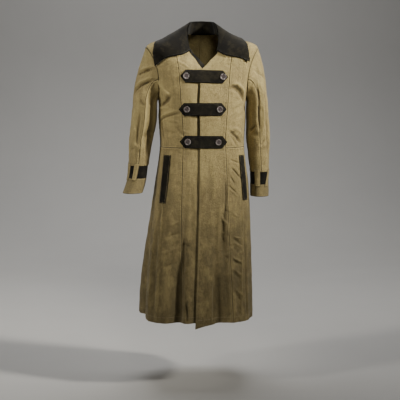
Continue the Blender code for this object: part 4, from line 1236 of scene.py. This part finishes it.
def make_tab(tab, seed):
    """A suede tab across the opening, with a point at each end."""
    half, corner = TAB_LENGTH / 2, TAB_LENGTH / 2 - TAB_POINT
    ends = np.array(TAB_END_LINES) * MM
    middle = np.linspace(-corner, corner, 52)
    along = np.concatenate((-half + ends, middle, (half - ends)[::-1]))
    tip = np.clip((half - np.abs(along)) / TAB_POINT, 0, 1)
    tall = TAB_HEIGHT / 2 * (TAB_TIP_SHARE + (1 - TAB_TIP_SHARE) * tip)
    shares = spread(TAB_HEIGHT, TRIM_LINES, TRIM_STEP) / TAB_HEIGHT
    up = tall[None, :] * (1 - 2 * shares[:, None])
    x, z = tab_frame(tab, np.broadcast_to(along, up.shape), up)
    face, out = on_front(x, z, TAB_LIFT)
    slope = math.cos(math.atan2(TAB_HEIGHT / 2, TAB_POINT))
    edge = np.minimum(tall - np.abs(up), (half - np.abs(along))[None, :] + 0 * up) / MM
    edge = np.where(np.abs(along)[None, :] > corner, np.minimum(tall - np.abs(up), 1) / MM * slope, edge)
    outer, inner, swell = trim_strip("tab", face, out, edge, seed)
    suede_piece(f"tab_{tab[0]}_suede", outer, inner, f"tab_{tab[0]}", edge, swell,
                flat=(TAB_LENGTH, TAB_HEIGHT), held="laid", area=0.0094,
                rests_on=["front_left", "front_right"])
    inset = TAB_STITCH_INSET
    tip, shoulder, top = half - inset * 1.5, corner - inset * 0.2, TAB_HEIGHT / 2 - inset
    corners = ((-tip, 0.0), (-shoulder, top), (shoulder, top))
    corners += tuple((-x, -z) for x, z in corners)
    outline = []
    for here, there in zip(corners, corners[1:] + corners[:1]):
        count = max(int(math.dist(here, there) / TAB_STITCH_STEP), 3)
        outline.extend(np.linspace(here, there, count, endpoint=False))
    outline = np.array((*outline, corners[0]))
    x, z = tab_frame(tab, outline[:, 0], outline[:, 1])
    sew("dark", *on_front(x, z, TAB_LIFT + TAB_STITCH_LIFT), slice(None), 0.0)


def make_welt(side, word):
    """A suede welt over the pocket opening."""
    top, bottom = (np.array(end) for end in WELTS[side])
    length = math.dist(top[:2], bottom[:2])
    drops = spread(length, TRIM_LINES, TRIM_STEP) / length
    z, x, width = (top + (bottom - top) * drops[:, None]).T
    level = LEVEL_OF_ORIGIN - z / MM
    inner_angle = angle_at(x, level)
    span = np.degrees(width / plain_radius(inner_angle, level))
    shares = spread(top[2], TRIM_LINES, 3 * MM) / top[2]
    angles = side * (inner_angle[:, None] + span[:, None] * shares)
    levels = np.broadcast_to(level[:, None], angles.shape)
    out = form_normal(angles, levels)
    height = crease_height(angles, levels, CREASES, body_scale, wrap=True) * CREASE_GAIN * MM
    face = form_point(angles, levels) + out * (WELT_LIFT + height)[..., None]
    edge = rims(face)[2]
    outer, inner, swell = trim_strip("welt", face, out, edge, 14 + side)
    suede_piece(f"pocket_welt_{word}_suede", outer, inner, f"pocket_welt_{word}", edge, swell,
                flat=(top[2], length), held="laid", rests_on=[f"side_skirt_{word}"])
    for line in (np.s_[3:-3, TRIM_STITCH], np.s_[3:-3, -1 - TRIM_STITCH],
                 np.s_[TRIM_STITCH, 3:-3], np.s_[-1 - TRIM_STITCH, 3:-3]):
        sew("tan", outer, out, line, 0.1 * MM)


# Buttons


def skin(shape, rings):
    """Faces between the rings of a closed tube, with a cap at each end."""
    faces = [shape.faces.new(rings[0][::-1]), shape.faces.new(rings[-1])]
    for low, high in zip(rings, rings[1:]):
        for k in range(len(low)):
            n = (k + 1) % len(low)
            faces.append(shape.faces.new((low[k], low[n], high[n], high[k])))
    bmesh.ops.recalc_face_normals(shape, faces=faces)


def lathe(profile, sides):
    """A turned closed shape from rings of radius and height."""
    shape = bmesh.new()
    turns = [2 * math.pi * k / sides for k in range(sides)]
    skin(shape, [[shape.verts.new((radius * math.cos(a), radius * math.sin(a), z)) for a in turns]
                 for radius, z in profile])
    mesh = bpy.data.meshes.new("turned")
    shape.to_mesh(mesh)
    shape.free()
    return mesh


def button_blank(radius, thickness):
    """A sew-through button with a raised rolled rim, a dished middle and four holes."""
    body = link("button_body", lathe([(radius * r, thickness * z) for r, z in BUTTON_PROFILE], BUTTON_SIDES))
    cutters = []
    for k in range(4):
        a = math.pi / 4 + k * math.pi / 2
        drill = link("drill", lathe(((HOLE_RADIUS, -thickness), (HOLE_RADIUS, 2 * thickness)), HOLE_SIDES))
        drill.data.transform(Matrix.Translation((HOLE_SPREAD * math.cos(a), HOLE_SPREAD * math.sin(a), 0.0)))
        cut = body.modifiers.new("hole", "BOOLEAN")
        cut.operation, cut.object, cut.solver = "DIFFERENCE", drill, "EXACT"
        cutters.append(drill)
    mesh = finished(body)
    for drill in cutters:
        bpy.data.objects.remove(drill)
    return mesh


def finished(obj):
    """The mesh of an object with its modifiers applied. The object itself is removed."""
    bpy.context.view_layer.update()
    mesh = bpy.data.meshes.new_from_object(obj.evaluated_get(bpy.context.evaluated_depsgraph_get()))
    bpy.data.objects.remove(obj)
    return mesh


def button_place(tab, x):
    """Where a button sits on its tab: the point, and three axes with the last one outward."""
    _, z, x_mid, tilt, _, _ = tab
    z_here = z + (x - x_mid) * math.tan(math.radians(tilt))
    point, out = on_front(np.array([x]), np.array([z_here]), TAB_LIFT + BUTTON_LIFT)
    point, out = point[0], out[0]
    level_axis = unit(np.cross((0.0, 0.0, 1.0), out))
    return point, (level_axis, np.cross(out, level_axis), out)


def make_buttons(sizes):
    blank = button_blank(sizes.button_radius, sizes.button_thickness)
    source = np.array([v.co for v in blank.vertices])
    from_axis = np.hypot(source[:, 0], source[:, 1]) / sizes.button_radius
    tufts = bmesh.new()
    for index, tab in enumerate(TABS):
        for word, x in (("right", tab[4]), ("left", tab[5])):
            point, axes = button_place(tab, x)
            turn = 0.3 * index + (0.5 if word == "left" else 0.0)
            c, s = math.cos(turn), math.sin(turn)
            first, second = axes[0] * c + axes[1] * s, axes[1] * c - axes[0] * s
            mesh = blank.copy()
            # Distance from the axis, by which the horn paints shade in the dished middle
            rim = mesh.attributes.new("rim", "FLOAT", "POINT")
            rim.data.foreach_set("value", from_axis.astype(np.float32))
            moved = point + source @ np.array((first, second, axes[2]))
            mesh.vertices.foreach_set("co", moved.astype(np.float32).ravel())
            mesh.update()
            mesh.shade_smooth()
            mesh.set_sharp_from_angle(angle=math.radians(40))
            name = f"button_{tab[0]}_{word}"
            add_piece(f"{name}_horn", mesh, "horn", name)
            for k in range(2):
                lay_thread(tufts, point, first, second, axes[2], k)
    mesh = bpy.data.meshes.new("button_threads")
    tufts.to_mesh(mesh)
    tufts.free()
    mesh.shade_smooth()
    add_piece("button_threads", mesh, "dark_thread")


def lay_thread(shape, point, first, second, out, k):
    """Two short arches of thread over a button's middle, from one hole to the opposite one."""
    a = math.pi / 4 + k * math.pi / 2
    across = first * math.cos(a) + second * math.sin(a)
    aside = np.cross(out, across)
    turns = [2 * math.pi * q / THREAD_SIDES for q in range(THREAD_SIDES)]
    round_out = [(out * math.cos(b) + aside * math.sin(b)) * ARCH_RADIUS for b in turns]
    for shift in (-ARCH_SHIFT, ARCH_SHIFT):
        rings = []
        for t in np.linspace(-1, 1, 9):
            rise = (ARCH_TOP + 0.5 * k - 1.4 * t * t - 1.2 * t**6) * MM
            centre = point + across * t * ARCH_REACH + out * rise + aside * shift
            rings.append([shape.verts.new(centre + corner) for corner in round_out])
        skin(shape, rings)


# Sewing


def stitch_tree(material):
    """Geometry nodes that lay stitches along every line of a mesh of edges."""
    tree = bpy.data.node_groups.new("stitching", "GeometryNodeTree")
    face = tree.interface
    face.new_socket("Lines", in_out="INPUT", socket_type="NodeSocketGeometry")
    inputs = {}
    for name in ("Pitch", "Stitch length", "Thread radius"):
        inputs[name] = face.new_socket(name, in_out="INPUT", socket_type="NodeSocketFloat").identifier
    face.new_socket("Stitches", in_out="OUTPUT", socket_type="NodeSocketGeometry")
    given, result = tree.nodes.new("NodeGroupInput"), tree.nodes.new("NodeGroupOutput")
    curve, spots, stitch, place, real, coat = (
        tree.nodes.new(f"GeometryNode{kind}")
        for kind in ("MeshToCurve", "CurveToPoints", "MeshCylinder",
                     "InstanceOnPoints", "RealizeInstances", "SetMaterial")
    )
    aim = tree.nodes.new("FunctionNodeAlignRotationToVector")
    spots.mode, aim.axis = "LENGTH", "Z"
    stitch.inputs["Vertices"].default_value = THREAD_SIDES
    coat.inputs["Material"].default_value = material
    for source, output, target, socket in (
        (given, "Lines", curve, "Mesh"),
        (curve, "Curve", spots, "Curve"),
        (given, "Pitch", spots, "Length"),
        (given, "Thread radius", stitch, "Radius"),
        (given, "Stitch length", stitch, "Depth"),
        (spots, "Points", place, "Points"),
        (spots, "Tangent", aim, "Vector"),
        (aim, "Rotation", place, "Rotation"),
        (stitch, "Mesh", place, "Instance"),
        (place, "Instances", real, "Geometry"),
        (real, "Geometry", coat, "Geometry"),
        (coat, "Geometry", result, "Stitches"),
    ):
        tree.links.new(source.outputs[output], target.inputs[socket])
    return tree, inputs


def make_stitches(name, lines, finish, sizes):
    """One mesh of all the stitches of one thread."""
    points, edges = [], []
    for line in lines:
        first = len(points)
        points.extend(line.tolist())
        edges.extend((k, k + 1) for k in range(first, len(points) - 1))
    mesh = bpy.data.meshes.new(f"{name}_lines")
    mesh.from_pydata(points, edges, [])
    obj = link(f"{name}_lines", mesh)
    tree, inputs = stitch_tree(FINISHES[finish]())
    modifier = obj.modifiers.new("stitching", "NODES")
    modifier.node_group = tree
    modifier[inputs["Pitch"]] = sizes.stitch_pitch
    modifier[inputs["Stitch length"]] = sizes.stitch_length
    modifier[inputs["Thread radius"]] = sizes.thread_radius
    sewn = finished(obj)
    if not len(sewn.polygons):
        raise RuntimeError(f"{name}: no stitches were made")
    sewn.name = name
    sewn.shade_smooth()
    sewn.set_sharp_from_angle(angle=math.radians(50))
    add_piece(name, sewn, finish)


# Materials


class Wire:
    """A socket in a material, whose arithmetic adds Math nodes."""

    def __init__(self, finish, socket):
        self.finish, self.socket = finish, socket

    def _math(self, operation, *values):
        return self.finish.node("ShaderNodeMath", {"operation": operation}, values)

    def __add__(self, other):
        return self._math("ADD", self, other)

    def __rsub__(self, other):
        return self._math("SUBTRACT", other, self)

    def __mul__(self, other):
        return self._math("MULTIPLY", self, other)

    __radd__, __rmul__ = __add__, __mul__

    def sine(self):
        return self._math("SINE", self)

    def clamped(self, low, high):
        """0 at low, 1 at high, and a smooth rise between."""
        sockets = {"Value": self, "From Min": low, "From Max": high}
        return self.finish.node("ShaderNodeMapRange", {"interpolation_type": "SMOOTHSTEP"}, sockets)


class Finish:
    """A material whose pattern is built as expressions on its own node tree."""

    def __init__(self, name, **constants):
        self.material = bpy.data.materials.new(name)
        self.material.use_nodes = True
        self.tree = self.material.node_tree
        self.shader = self.tree.nodes["Principled BSDF"]
        for socket, value in constants.items():
            self.shader.inputs[socket.replace("_", " ")].default_value = value

    def node(self, kind, settings, sockets, output=0):
        """A node with its settings, then the values or links of its sockets."""
        made = self.tree.nodes.new(kind)
        for key, value in settings.items():
            setattr(made, key, value)
        pairs = sockets.items() if isinstance(sockets, dict) else enumerate(sockets)
        for key, value in pairs:
            if isinstance(value, Wire):
                self.tree.links.new(value.socket, made.inputs[key])
            else:
                made.inputs[key].default_value = value
        return Wire(self, made.outputs[output])

    def feed(self, socket, value):
        self.tree.links.new(value.socket, self.shader.inputs[socket])

    def objects(self):
        return self.node("ShaderNodeTexCoord", {}, {}, "Object")

    def attribute(self, name):
        return self.node("ShaderNodeAttribute", {"attribute_name": name}, {}, "Fac")

    def noise(self, vector, scale, detail=3.0, roughness=0.55):
        """Noise of one scale, or of a scale for each axis."""
        if isinstance(scale, tuple):
            vector, scale = self.node("ShaderNodeMapping", {}, {"Vector": vector, "Scale": scale}), 1.0
        sockets = {"Vector": vector, "Scale": scale, "Detail": detail, "Roughness": roughness}
        return self.node("ShaderNodeTexNoise", {}, sockets, "Fac")

    def axis(self, vector, name):
        return self.node("ShaderNodeSeparateXYZ", {}, {"Vector": vector}, name)

    def mix(self, factor, first, second, blend="MIX"):
        """Two colours, mixed."""
        first, second = (value if isinstance(value, Wire) else (*value, 1.0) for value in (first, second))
        settings = {"data_type": "RGBA", "blend_type": blend}
        return self.node("ShaderNodeMix", settings, {0: factor, 6: first, 7: second}, 2)

    def shaded(self, factor, colour, tint):
        """A colour multiplied by a tint, as far as the factor says."""
        return self.mix(factor, colour, tint, "MULTIPLY")

    def done(self, colour, roughness, height, strength, distance):
        """Feeds the shader and returns the material."""
        self.feed("Base Color", colour)
        if roughness:
            self.feed("Roughness", roughness)
        sockets = {"Height": height, "Strength": strength, "Distance": distance}
        self.feed("Normal", self.node("ShaderNodeBump", {}, sockets))
        return self.material


def kept(build):
    """A material is made once and then shared."""
    made = {}

    def get():
        if "material" not in made:
            made["material"] = build(bpy.context.scene.coat_colours)
        return made["material"]

    return get


def tinted(colour, factor):
    return tuple(min(c * factor, 1.0) for c in colour)


@kept
def twill(colours):
    """Cotton twill, faded unevenly: diagonal ribs, slubs, worn edges, painted shade and highlights at seams
    and creases, and soil with painted shade near the hem.
    """
    f = Finish("twill", Roughness=0.72, Sheen_Weight=0.08, Sheen_Roughness=0.5, Specular_IOR_Level=0.3)
    here, cloth = f.objects(), f.node("ShaderNodeUVMap", {"uv_map": "cloth"}, {})
    u, v = f.axis(cloth, "X"), f.axis(cloth, "Y")
    rib = ((u + v * 1.15) * (2 * math.pi / 0.0013)).sine() * 0.5 + 0.5
    slub, weft = f.noise(cloth, (900.0, 45.0, 1.0), 2.0), f.noise(cloth, (40.0, 1100.0, 1.0), 2.0)
    cloud, mottle = f.noise(here, 6.5, 4.0, 0.6), f.noise(here, 38.0, 5.0, 0.7)
    fine = f.noise(here, 150.0, 3.0, 0.6)
    stain, streak = f.noise(here, (17.0, 17.0, 9.0), 4.0, 0.65), f.noise(here, (34.0, 34.0, 4.5), 4.0, 0.65)
    wrinkle, hem_soil_and_shade = f.noise(here, (26.0, 26.0, 52.0), 3.0, 0.6), f.noise(here, (26.0, 26.0, 15.0), 5.0, 0.7)
    tan, brown = tuple(colours.twill), tuple(colours.twill_worn)
    # Rises from 0 at z = -0.36 to 1 at z = -0.95; it weights the soil and the painted shade towards the hem
    low = 1 - f.axis(here, "Z").clamped(-0.95, -0.36)
    edge, rise = f.attribute("edge_mm"), f.attribute("rise_mm")
    # Paler band near the edges: partly wear, partly a painted highlight on the rolled and raised edges
    edge_wear_and_highlight = (1 - edge.clamped(3.5, 7.0)) * edge.clamped(1.4, 3.0)
    # Painted shade along the line where the seam allowance ends inside each edge
    allowance_shade = (1 - edge.clamped(8.6, 9.8)) * edge.clamped(6.6, 7.8)
    colour = f.mix(cloud.clamped(0.36, 0.64) * 0.8, tan, brown)
    for mask, tint in (
        (mottle.clamped(0.5, 0.7) * 0.5, tinted(tan, 1.35)),
        ((1 - mottle.clamped(0.32, 0.5)) * (low * 0.5 + 0.3), tinted(brown, 0.5)),
        ((1 - fine.clamped(0.3, 0.55)) * (low * 0.3 + 0.25), tinted(brown, 0.55)),
        (streak.clamped(0.46, 0.66) * 0.5, tinted(brown, 0.5)),
        (fine.clamped(0.54, 0.72) * 0.4, tinted(tan, 1.4)),
        (stain.clamped(0.48, 0.62) * (low * 0.6 + 0.15), tinted(brown, 0.45)),
        # Painted highlight along the edges, with their wear
        (edge_wear_and_highlight * 0.5, tinted(tan, 1.45)),
        # Painted shade where the seam allowance ends
        (allowance_shade * 0.3, tinted(brown, 0.45)),
    ):
        colour = f.mix(mask, colour, tint)
    # Painted shade in the groove of each seam
    colour = f.shaded((1 - edge.clamped(0.8, 3.4)) * 0.9, colour, (0.12, 0.10, 0.09))
    # Paler on raised creases and folds: partly fading of the crests, partly a painted highlight
    colour = f.mix(rise.clamped(0.6, 6.0) * 0.35, colour, tinted(tan, 1.4))
    # Painted shade in the troughs of creases and folds, with some soil
    colour = f.shaded((1 - rise.clamped(-6.5, -0.6)) * 0.85, colour, (0.26, 0.22, 0.18))
    # Darker towards the hem: partly soil, partly painted shade where the light falls off lower down
    colour = f.shaded(low * (hem_soil_and_shade.clamped(0.38, 0.6) * 0.42 + 0.56), colour, (0.15, 0.135, 0.12))
    # Painted shadow in the gap between the fronts and along the sunk armhole seams; on the cuffs the same
    # attribute darkens them as soil
    colour = f.mix(f.attribute("shade") * 0.99, colour, tinted(brown, 0.02))
    thread = rib * 0.10 + slub * 0.14 + weft * 0.10
    colour = f.mix(thread.clamped(0.0, 0.34) * 0.4, colour, tinted(tan, 1.2))
    height = rib * 0.35 + slub * 0.5 + weft * 0.4 + mottle * 7.0 + wrinkle * 4.0 + fine * 1.5
    return f.done(colour, mottle * 0.18 + 0.64, height, 1.0, 0.0006)


@kept
def suede(colours):
    """Dark suede: a short nap brushed into paler and darker patches."""
    f = Finish("suede", Roughness=0.9, Sheen_Weight=0.1, Sheen_Roughness=0.45, Specular_IOR_Level=0.15)
    here, edge = f.objects(), f.attribute("edge_mm")
    nap, brushed, patch = f.noise(here, 900.0, 3.0, 0.7), f.noise(here, 30.0, 5.0, 0.68), f.noise(here, 9.0)
    dark, olive = tuple(colours.suede), tuple(colours.suede_worn)
    colour = f.mix(patch.clamped(0.4, 0.62), dark, olive)
    colour = f.mix(brushed.clamped(0.46, 0.66) * 0.8, colour, tinted(olive, 2.5))
    colour = f.mix(nap.clamped(0.35, 0.7) * 0.4, colour, tinted(dark, 0.45))
    colour = f.mix((1 - edge.clamped(1.0, 5.2)) * 0.7, colour, tinted(dark, 0.25))
    return f.done(colour, brushed * 0.15 + 0.82, nap * 0.6 + brushed * 3.0, 0.7, 0.0006)


@kept
def horn(colours):
    """Polished horn in grey and mauve: pale clouds on the rim, and painted shade in the dished middle."""
    f = Finish("horn", Roughness=0.25, Coat_Weight=0.6, Coat_Roughness=0.1)
    here, pale = f.objects(), tuple(colours.button)
    cloud, streak = f.noise(here, 130.0, 4.0, 0.6), f.noise(here, (240.0, 240.0, 60.0))
    colour = f.mix(cloud.clamped(0.42, 0.6), pale, tinted(pale, 0.3))
    colour = f.mix(streak.clamped(0.5, 0.75) * 0.5, colour, (0.10, 0.07, 0.07))
    # Painted shade in the dished middle, by the distance from the axis
    colour = f.mix((1 - f.attribute("rim").clamped(0.45, 0.8)) * 0.65, colour, (0.05, 0.035, 0.04))
    return f.done(colour, cloud * 0.2 + 0.15, streak, 0.15, 0.0003)


def thread_finish(name, colour):
    f = Finish(name, Roughness=0.6, Sheen_Weight=0.2)
    ply = f.noise(f.objects(), 1800.0, 2.0)
    return f.done(f.mix(ply.clamped(0.3, 0.7), tinted(colour, 0.7), colour), None, ply, 0.4, 0.0002)


@kept
def tan_thread(colours):
    return thread_finish("tan_thread", tuple(colours.thread))


@kept
def dark_thread(colours):
    return thread_finish("dark_thread", tuple(colours.dark_thread))


FINISHES = {
    "twill": twill,
    "suede": suede,
    "horn": horn,
    "tan_thread": tan_thread,
    "dark_thread": dark_thread,
}


# Stage


def make_floor(colour):
    """A pale floor that curves up into a backdrop."""
    profile = [(-FLOOR_HALF, FLOOR_Z)]
    for k in range(13):
        a = math.pi / 2 * k / 12
        profile.append((FLOOR_BACK + FLOOR_BEND * math.sin(a), FLOOR_Z + FLOOR_BEND * (1 - math.cos(a))))
    profile.append((FLOOR_BACK + FLOOR_BEND, WALL_TOP))
    points = [(x, y, z) for y, z in profile for x in (-FLOOR_HALF, FLOOR_HALF)]
    faces = [(2 * k, 2 * k + 1, 2 * k + 3, 2 * k + 2) for k in range(len(profile) - 1)]
    mesh = bpy.data.meshes.new("floor")
    mesh.from_pydata(points, [], faces)
    mesh.shade_smooth()
    f = Finish("floor", Roughness=0.85)
    f.feed("Base Color", f.mix(f.noise(f.objects(), 3.0, 2.0), tuple(colour), tinted(colour, 0.94)))
    mesh.materials.append(f.material)
    link("floor", mesh)


def add_light(name, place, target, size, watts, colour, spread_degrees):
    light = bpy.data.lights.new(name, "AREA")
    light.shape, light.size, light.energy, light.color = "SQUARE", size, watts, colour
    light.spread = math.radians(spread_degrees)
    obj = link(name, light)
    obj.location = place
    obj.rotation_euler = (Vector(target) - Vector(place)).to_track_quat("-Z", "Y").to_euler()


def make_camera():
    camera = bpy.data.cameras.new("camera")
    camera.lens = CAMERA_LENS
    obj = link("camera", camera)
    yaw, pitch = math.radians(CAMERA_YAW), math.radians(CAMERA_PITCH)
    look = Vector((math.sin(yaw) * math.cos(pitch), math.cos(yaw) * math.cos(pitch), -math.sin(pitch)))
    obj.location = CAMERA_AT
    obj.rotation_euler = look.to_track_quat("-Z", "Y").to_euler()
    bpy.context.scene.camera = obj


# Add-on classes


def size_property(name, description, default):
    return bpy.props.FloatProperty(name=name, description=description, default=default, unit="LENGTH")


def colour_property(name, description, default):
    return bpy.props.FloatVectorProperty(name=name, description=description, default=default, subtype="COLOR")


class CoatSizes(bpy.types.PropertyGroup):
    """Sizes that a maker would change."""

    button_radius: size_property("Button radius", "Half the width of a button", 0.0135)
    button_thickness: size_property("Button thickness", "Height of a button's rim", 0.0038)
    stitch_pitch: size_property("Stitch pitch", "Distance from stitch to stitch", 0.0044)
    stitch_length: size_property("Stitch length", "Length of the thread that shows", 0.0033)
    thread_radius: size_property("Thread radius", "Half the thickness of the thread", 0.00035)


class CoatColours(bpy.types.PropertyGroup):
    """Colours of the cloth, trim and stage."""

    twill: colour_property("Twill", "Main colour of the cloth", (0.355, 0.282, 0.118))
    twill_worn: colour_property("Worn twill", "Browner patches of the cloth", (0.265, 0.20, 0.086))
    suede: colour_property("Suede", "Main colour of the trim", (0.0048, 0.004, 0.0028))
    suede_worn: colour_property("Worn suede", "Paler patches of the trim", (0.010, 0.0085, 0.005))
    button: colour_property("Button", "Pale colour of the horn", (0.20, 0.17, 0.16))
    thread: colour_property("Thread", "Thread on the twill", (0.40, 0.32, 0.17))
    dark_thread: colour_property("Dark thread", "Thread on the suede", (0.03, 0.026, 0.02))
    floor: colour_property("Floor", "Floor and backdrop", (0.62, 0.61, 0.59))


class COAT_OT_body(bpy.types.Operator):
    """Makes the twill panels of the fronts, the backs and the skirt"""

    bl_idname = "coat.body"
    bl_label = "Body panels"

    def execute(self, context):
        for side in WORDS:
            make_centre_front(side)
            make_side_front(side)
            make_back(side)
        return {"FINISHED"}


class COAT_OT_sleeves(bpy.types.Operator):
    """Makes the sleeves, with their wrist bands, loops and cuffs"""

    bl_idname = "coat.sleeves"
    bl_label = "Sleeves"

    def execute(self, context):
        for side in WORDS:
            make_sleeve(side)
            make_wrist(side)
        return {"FINISHED"}


class COAT_OT_collar(bpy.types.Operator):
    """Makes the suede collar, its band and the strip inside the right front"""

    bl_idname = "coat.collar"
    bl_label = "Collar"

    def execute(self, context):
        make_collar()
        make_neck_facing()
        return {"FINISHED"}


class COAT_OT_trim(bpy.types.Operator):
    """Makes the closing tabs and the pocket welts"""

    bl_idname = "coat.trim"
    bl_label = "Tabs and welts"

    def execute(self, context):
        for index, tab in enumerate(TABS):
            make_tab(tab, 12.0 + index)
        for side, word in WORDS.items():
            make_welt(side, word)
        return {"FINISHED"}


class COAT_OT_buttons(bpy.types.Operator):
    """Makes the six buttons and the thread that holds them"""

    bl_idname = "coat.buttons"
    bl_label = "Buttons"

    def execute(self, context):
        make_buttons(context.scene.coat_sizes)
        return {"FINISHED"}


class COAT_OT_sewing(bpy.types.Operator):
    """Lays the stitches along the seams, hems and trim"""

    bl_idname = "coat.sewing"
    bl_label = "Sewing"

    def execute(self, context):
        sizes = context.scene.coat_sizes
        make_stitches("stitches_tan", SEWING["tan"], "tan_thread", sizes)
        make_stitches("stitches_dark", SEWING["dark"], "dark_thread", sizes)
        return {"FINISHED"}


class COAT_OT_stage(bpy.types.Operator):
    """Makes the floor, the lights and the camera"""

    bl_idname = "coat.stage"
    bl_label = "Stage"

    def execute(self, context):
        make_floor(context.scene.coat_colours.floor)
        for light in LIGHTS:
            add_light(*light)
        world = bpy.data.worlds.new("world")
        world.use_nodes = True
        background = world.node_tree.nodes["Background"]
        background.inputs["Color"].default_value = WORLD_COLOUR
        background.inputs["Strength"].default_value = WORLD_STRENGTH
        context.scene.world = world
        make_camera()
        return {"FINISHED"}


class COAT_PT_panel(bpy.types.Panel):
    """Lists the sizes, the colours and the steps"""

    bl_label = "Coat"
    bl_idname = "COAT_PT_panel"
    bl_space_type = "VIEW_3D"
    bl_region_type = "UI"
    bl_category = "Coat"

    def draw(self, context):
        for group in (context.scene.coat_sizes, context.scene.coat_colours):
            for name in group.bl_rna.properties.keys():
                if name not in ("rna_type", "name"):
                    self.layout.prop(group, name)
        for operator in OPERATORS:
            self.layout.operator(operator.bl_idname)


OPERATORS = (
    COAT_OT_body, COAT_OT_sleeves, COAT_OT_collar, COAT_OT_trim, COAT_OT_buttons, COAT_OT_sewing,
    COAT_OT_stage,
)
CLASSES = (CoatSizes, CoatColours, *OPERATORS, COAT_PT_panel)


def register():
    for cls in CLASSES:
        bpy.utils.register_class(cls)
    bpy.types.Scene.coat_sizes = bpy.props.PointerProperty(type=CoatSizes)
    bpy.types.Scene.coat_colours = bpy.props.PointerProperty(type=CoatColours)


def unregister():
    del bpy.types.Scene.coat_sizes
    del bpy.types.Scene.coat_colours
    for cls in reversed(CLASSES):
        bpy.utils.unregister_class(cls)


def main():
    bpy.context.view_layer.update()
    register()
    for step in ("body", "sleeves", "collar", "trim", "buttons", "sewing", "stage"):
        getattr(bpy.ops.coat, step)()


if __name__ == "__main__":
    main()
